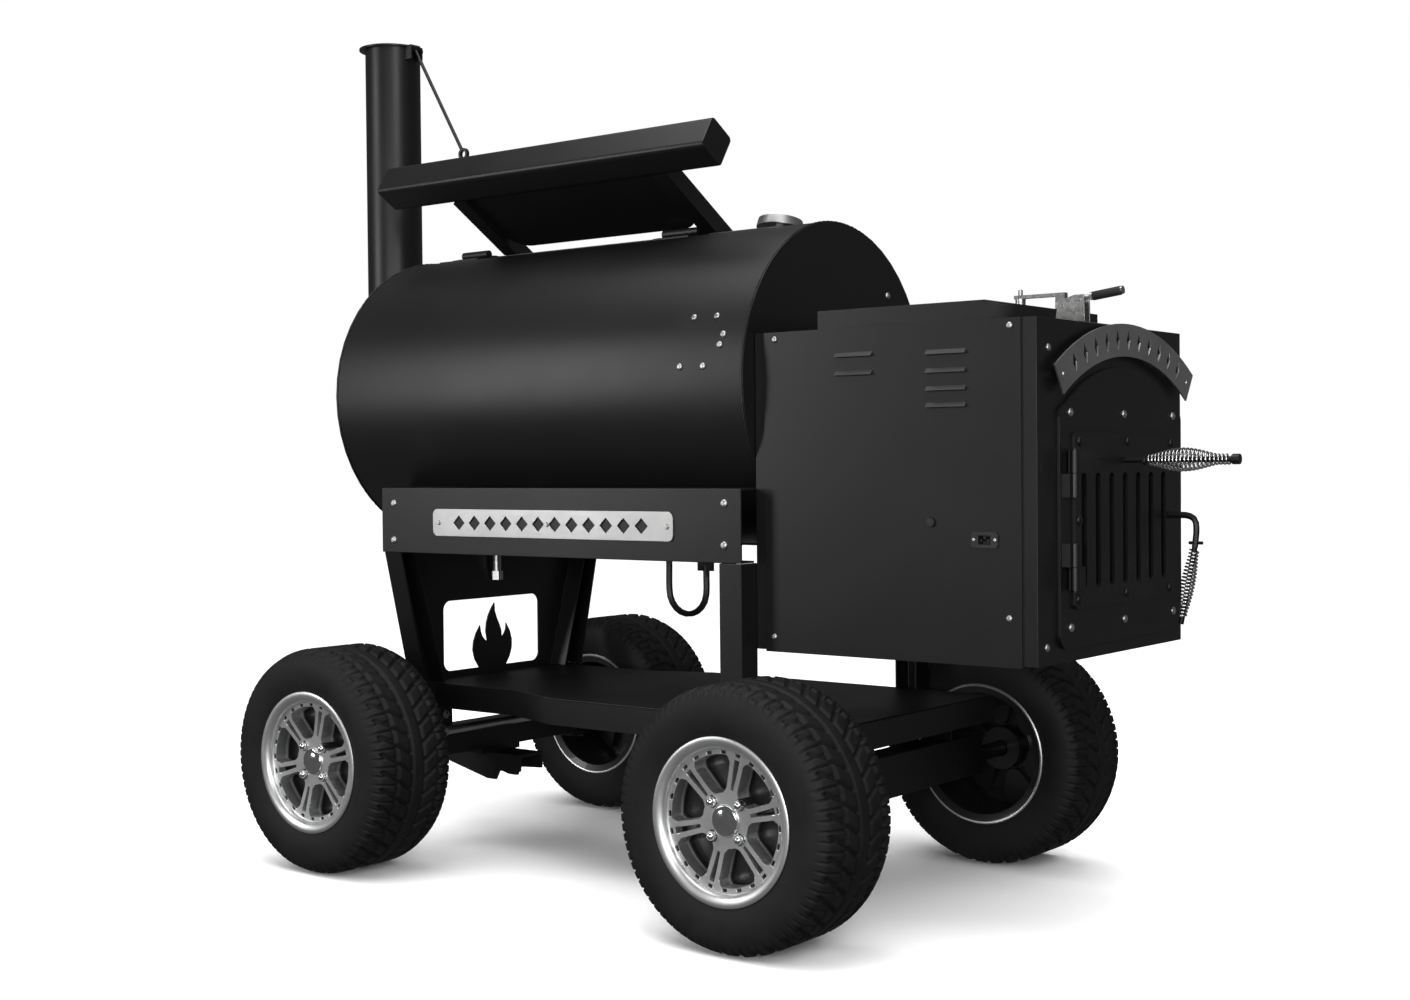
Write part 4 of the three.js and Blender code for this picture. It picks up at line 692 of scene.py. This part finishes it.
for end, axle_x in (("front", FRONT_AXLE_X), ("back", BACK_AXLE_X)):
    for hand, side in (("left", -1), ("right", 1)):
        centre = place(axle_x, side * WHEEL_Y, WHEEL_RADIUS)
        body = f"wheel_{end}_{hand}"
        tyre = ridden(linked(f"tread_{end}_{hand}", tyre_mesh(f"tread_{end}_{hand}", centre, side)),
                      body)
        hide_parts(f"tyre_{end}_{hand}")
        rim = ridden(linked(f"spokes_{end}_{hand}", rim_mesh(f"spokes_{end}_{hand}", centre, side)),
                     body)
        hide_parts(f"rim_{end}_{hand}")
        ridden(wheel_trim(f"wheel_nuts_{end}_{hand}", centre, side), body)


# ---------------------------------------------------------------- spring-wire grips

def coil(start, end, turns, radius_at, per_turn=22):
    axis = end - start
    across = axis.orthogonal().normalized()
    other = axis.normalized().cross(across)
    steps = turns * per_turn
    path = []
    for i in range(steps + 1):
        share = i / steps
        angle = 2 * math.pi * i / per_turn
        r = radius_at(share)
        reach = across * (r * math.cos(angle)) + other * (r * math.sin(angle))
        path.append(start + axis * share + reach)
    return path


def damper_swell(share):
    """The wire's reach from the rod: narrow at the door, widest before the middle, tight at the ball."""
    if share > 0.86:
        return 0.0078
    return 0.0078 + 0.0112 * math.sin(math.pi * min(1.0, share / 0.86)) ** 1.3


def latch_swell(share):
    if share < 0.12 or share > 0.9:
        return 0.0078
    return 0.0078 + 0.0038 * math.sin(math.pi * (share - 0.12) / 0.78) ** 0.8


def spring(name, start, end, turns, swell, radius, body, node):
    piece = wire(name, coil(start, end, turns, swell), radius, CHROME)
    ridden(piece, body)
    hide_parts(node)


spring("damper_spring_grip", place(1122, 26, 828), place(1268, 26, 828), 21, damper_swell, 0.0019,
       "damper", "damper_grip")
spring("latch_spring_grip", place(1126, 210, 664), place(1101.5, 210, 544), 19, latch_swell, 0.0018,
       "latch", "latch_grip")


# ---------------------------------------------------------------- screws, bolts and beads

def head_object(name, profile, sides, socket_radius, material):
    shape = Shape()
    shape.lathe(profile, sides, Matrix.Identity(4))
    # The black plastic hexagon capping the head is painted shade: it stands in for the dark recess of
    # the hex socket, which is not cut.
    if socket_radius:
        depth = profile[-1][1]
        shape.lathe([(socket_radius, depth - 0.12), (socket_radius * 0.98, depth + 0.02)], 6,
                    Matrix.Identity(4), 1)
    return linked(name, shape.mesh(name, [material, PLASTIC], 40.0))


BUTTON = head_object("button_head",
                     [(1.0, -0.15), (1.0, 0.06), (0.95, 0.22), (0.8, 0.4), (0.58, 0.52),
                      (0.46, 0.55)], 28, 0.42, SCREW)
HEX = head_object("hex_head", [(1.3, -0.1), (1.3, 0.08), (1.25, 0.12), (1.0, 0.13), (1.0, 0.6),
                               (0.92, 0.7)], 6, 0, SCREW)
CARRIAGE = head_object("carriage_head",
                       [(1.0, -0.1), (1.0, 0.05), (0.9, 0.25), (0.66, 0.42), (0.36, 0.52),
                        (0.0, 0.56)], 28, 0, COAT)


def barrel_spot(x, z):
    rise = (z - BARREL_Z) / BARREL_RADIUS
    y = -math.sqrt(1 - rise * rise)
    return place(x, y * BARREL_RADIUS, z), (0, y, rise)


silver = [(*barrel_spot(x, z), 6.5) for x, z in
          ((371, 1098), (424, 1098), (447, 1063), (442, 1044), (353, 1007), (407, 1006))]
silver += [(place(499, 175, 1161), (1, 0, 0), 7.0)]
silver += [(place(x, SERVICE_FACE, z), (0, -1, 0), 6.0)
           for x, z in ((546, 1049), (541, 516), (1015, 570), (1018, 1049))]
silver += [(place(x, -280.5, 698), (0, -1, 0), 3.4) for x in (950.5, 990.5)]
silver += [(place(BACK_FACE, y, z), (1, 0, 0), 6.5)
           for y, z in ((-235, 1013), (-244, 522), (272, 1013), (272, 522))]
silver += [(place(DOOR_PLATE_FACE, DOOR_Y + y, z), (1, 0, 0), 7.5) for z in (908, 550)
           for y in (-205, 0, 205)]
silver += [(place(x, side * RAIL_FACE, z), (0, side, 0), 8.0) for side in (-1, 1)
           for x, z in ((-412, 751), (-413, 674), (462, 756), (461, 680))]
silver_heads = heads("stainless_button_screws", silver, BUTTON, 0.001, SCREW)
ridden(silver_heads, "chassis")

black = [(place(DOOR_FACE, y, z), (1, 0, 0), 8.5) for y, z in
         ((-148, 860), (39, 861), (220, 858), (-151, 728), (-153, 596), (32, 597), (213, 595))]
ridden(heads("door_carriage_bolts", black, CARRIAGE, 0.001, COAT), "vent_door")

axle_bolts = [(place(FRONT_AXLE_X + dx, side * 150 + side * 3, 285), (0, side, 0), 8.0)
              for side in (-1, 1) for dx in (-14, 14)]
axle_bolts += [(place(BACK_AXLE_X + dx, side * 193, 293), (0, side, 0), 8.0) for side in (-1, 1)
               for dx in (-14, 14)]
ridden(heads("axle_hex_bolts", axle_bolts, HEX, 0.001, SCREW), "chassis")

for head in (BUTTON, HEX, CARRIAGE):
    bpy.data.objects.remove(head)

random.seed(7)
for name, bead_x in (("bead_hopper_end", 494.6), ("bead_stack_end", -598.2)):
    count = 420
    path = []
    for i in range(count):
        angle = 2 * math.pi * i / count
        r = BARREL_RADIUS - 0.4 + 0.35 * math.sin(i * 2.1) + random.uniform(-0.15, 0.15)
        path.append(place(bead_x + random.uniform(-0.25, 0.25), r * math.cos(angle),
                          BARREL_Z + r * math.sin(angle)))
    ridden(wire(name, path, 0.0022, COAT, 8, True), "chassis")


# ---------------------------------------------------------------- thermometer dial

def dial_piece():
    angle = math.radians(79)
    up = Vector((0, math.cos(angle), math.sin(angle)))
    base = BARREL_RADIUS + 0.5 + 0.3 + 14 + 18 - 2.8
    centre = place(316, 0, BARREL_Z) + up * (base / 1000)
    move = axis_frame(centre, up)
    shape = Shape()
    shape.lathe([(0.0418, 0.0), (0.0418, 0.0006), (0.0412, 0.0009), (0.0, 0.0009)], 72, move, 0)
    for i in range(41):
        turn = math.radians(-135 + 270 * i / 40)
        long_tick = i % 5 == 0
        tick = move @ Matrix.Rotation(turn, 4, "Z")
        shape.block((-0.00045, 0.0315 if long_tick else 0.0345, 0.0008), (0.00045, 0.0385, 0.0011),
                    1, tick, 0.0001)
    needle = move @ Matrix.Rotation(math.radians(118), 4, "Z")
    shape.block((-0.0009, -0.008, 0.0014), (0.0009, 0.03, 0.0019), 1, needle, 0.0002)
    shape.lathe([(0.0035, 0.0012), (0.0035, 0.0024), (0.0025, 0.0028), (0.0, 0.0029)], 24, move, 2)
    return linked("thermometer_dial", shape.mesh("thermometer_dial", [DIAL, PLASTIC, STAINLESS]))


ridden(dial_piece(), "lid")


# ---------------------------------------------------------------- lid handle sleeve and controls

def handle_sleeve():
    angle = math.radians(14)
    axis_radius = BARREL_RADIUS + 0.5 + 0.6 + 56
    centre = place(-107 - 236, axis_radius * math.cos(angle),
                   BARREL_Z + axis_radius * math.sin(angle))
    profile = [(0.0112, 0.0), (0.0145, 0.0012)]
    ribs, length = 34, 0.472
    for i in range(ribs):
        a = 0.003 + (length - 0.006) * i / ribs
        b = 0.003 + (length - 0.006) * (i + 0.62) / ribs
        profile += [(0.0150, a), (0.0150, b), (0.0138, b + 0.0008),
                    (0.0138, a + (length - 0.006) / ribs - 0.0008)]
    profile += [(0.0145, length - 0.0012), (0.0112, length)]
    shape = Shape()
    shape.lathe(profile, 32, axis_frame(centre, (1, 0, 0)))
    return linked("lid_handle_sleeve", shape.mesh("lid_handle_sleeve", [GRIP_RUBBER]))


ridden(handle_sleeve(), "lid")


def lever_sleeve():
    """The dipped grip on the end of the toggle clamp's lever."""
    start, end = place(1060, -60, 1108.6), place(1115, -60, 1115.5)
    reach = (end - start).length
    shape = Shape()
    shape.lathe([(0.0062, 0.0), (0.0078, 0.0012), (0.0079, reach - 0.004), (0.0066, reach - 0.001),
                 (0.0, reach)], 24,
                axis_frame(start, end - start))
    return linked("clamp_lever_sleeve", shape.mesh("clamp_lever_sleeve", [GRIP_RUBBER], 60.0))


ridden(lever_sleeve(), "clamp_lever")


def control_face():
    shape = Shape()

    def slab(x0, x1, z0, z1, low, high, mark, bevel=0.0012):
        shape.block(place(x0, CONTROL_FACE + low, z0), place(x1, CONTROL_FACE + high, z1), mark,
                    None, bevel)

    slab(664, 780, 882, 944, -0.5, 2.2, 0)
    slab(670, 774, 888, 938, 1.9, 2.6, 1)
    for i in range(4):
        slab(668 + 30 * i, 688 + 30 * i, 866, 876, -0.5, 3.0, 2, 0.0018)
    return linked("control_face", shape.mesh("control_face", [PLASTIC, GLASS, GRIP_RUBBER]))


ridden(control_face(), "chassis")


# ---------------------------------------------------------------- floor, light and camera

# ---------------------------------------------------------------- floor, light and camera

floor_mesh = bpy.data.meshes.new("floor")
floor_mesh.from_pydata([(-30, -30, 0), (30, -30, 0), (30, 30, 0), (-30, 30, 0)], [], [(0, 1, 2, 3)])
floor_mesh.materials.append(floor_paper())
linked("floor", floor_mesh)

floor_piece = bpy.data.objects["floor"]
floor_piece.visible_diffuse = False
floor_piece.visible_glossy = False
floor_only = bpy.data.collections.new("floor_only")
floor_only.objects.link(floor_piece)

world = bpy.data.worlds.new("studio")
world.use_nodes = True
backdrop = world.node_tree.nodes["Background"]
backdrop.inputs["Color"].default_value = (1.0, 1.0, 1.0, 1.0)
seen = world.node_tree.nodes.new("ShaderNodeLightPath")
strength = world.node_tree.nodes.new("ShaderNodeMapRange")
strength.inputs["To Min"].default_value = AMBIENT
strength.inputs["To Max"].default_value = 1.0
world.node_tree.links.new(seen.outputs["Is Camera Ray"], strength.inputs["Value"])
world.node_tree.links.new(strength.outputs["Result"], backdrop.inputs["Strength"])
bpy.context.scene.world = world


def aimed(name, light, spot, target):
    lamp = bpy.data.objects.new(name, light)
    lamp.location = spot
    lamp.rotation_euler = (Vector(target) - Vector(spot)).to_track_quat("-Z", "Y").to_euler()
    bpy.context.scene.collection.objects.link(lamp)
    return lamp


def softbox(name, spot, target, width, height, power):
    light = bpy.data.lights.new(name, "AREA")
    light.shape = "RECTANGLE"
    light.size, light.size_y, light.energy = width, height, power
    return aimed(name, light, spot, target)


softbox("overhead", (0.0, -0.6, 3.6), (0, -0.1, 0.6), 3.2, 2.4, 62)
softbox("key", (3.6, -2.6, 2.6), (0.2, 0, 0.8), 1.2, 2.4, 55)
softbox("side", (-2.8, -3.2, 1.7), (-0.3, 0, 0.7), 0.9, 2.2, 38)
softbox("wheel_fill", (1.6, -4.2, 0.9), (0, -0.4, 0.3), 3.4, 1.0, 70)

floor_light = bpy.data.lights.new("floor_light", "SUN")
floor_light.energy, floor_light.angle = 3.9, math.radians(100)
floor_lamp = aimed("floor_light", floor_light, (0, 0, 6), (0, 0.01, 0))
floor_lamp.light_linking.receiver_collection = floor_only

CAMERA_YAW, CAMERA_PITCH, CAMERA_ROLL = math.radians(38.08), math.radians(1.15), math.radians(-0.52)
forward = Vector((-math.sin(CAMERA_YAW) * math.cos(CAMERA_PITCH),
                  math.cos(CAMERA_YAW) * math.cos(CAMERA_PITCH),
                  -math.sin(CAMERA_PITCH)))
level = Vector((math.cos(CAMERA_YAW), math.sin(CAMERA_YAW), 0))
above = level.cross(forward)
right = level * math.cos(CAMERA_ROLL) + above * math.sin(CAMERA_ROLL)
top = above * math.cos(CAMERA_ROLL) - level * math.sin(CAMERA_ROLL)
lens = bpy.data.cameras.new("camera")
lens.lens, lens.sensor_width, lens.clip_end = 46.212, 36.0, 200.0
camera = bpy.data.objects.new("camera", lens)
camera.matrix_world = Matrix((
    (right.x, top.x, -forward.x, (2447.55 + SHIFT) / 1000),
    (right.y, top.y, -forward.y, -2.91061),
    (right.z, top.z, -forward.z, 0.82823),
    (0, 0, 0, 1),
))
bpy.context.scene.collection.objects.link(camera)
bpy.context.scene.camera = camera
bpy.context.scene.view_settings.view_transform = "Standard"
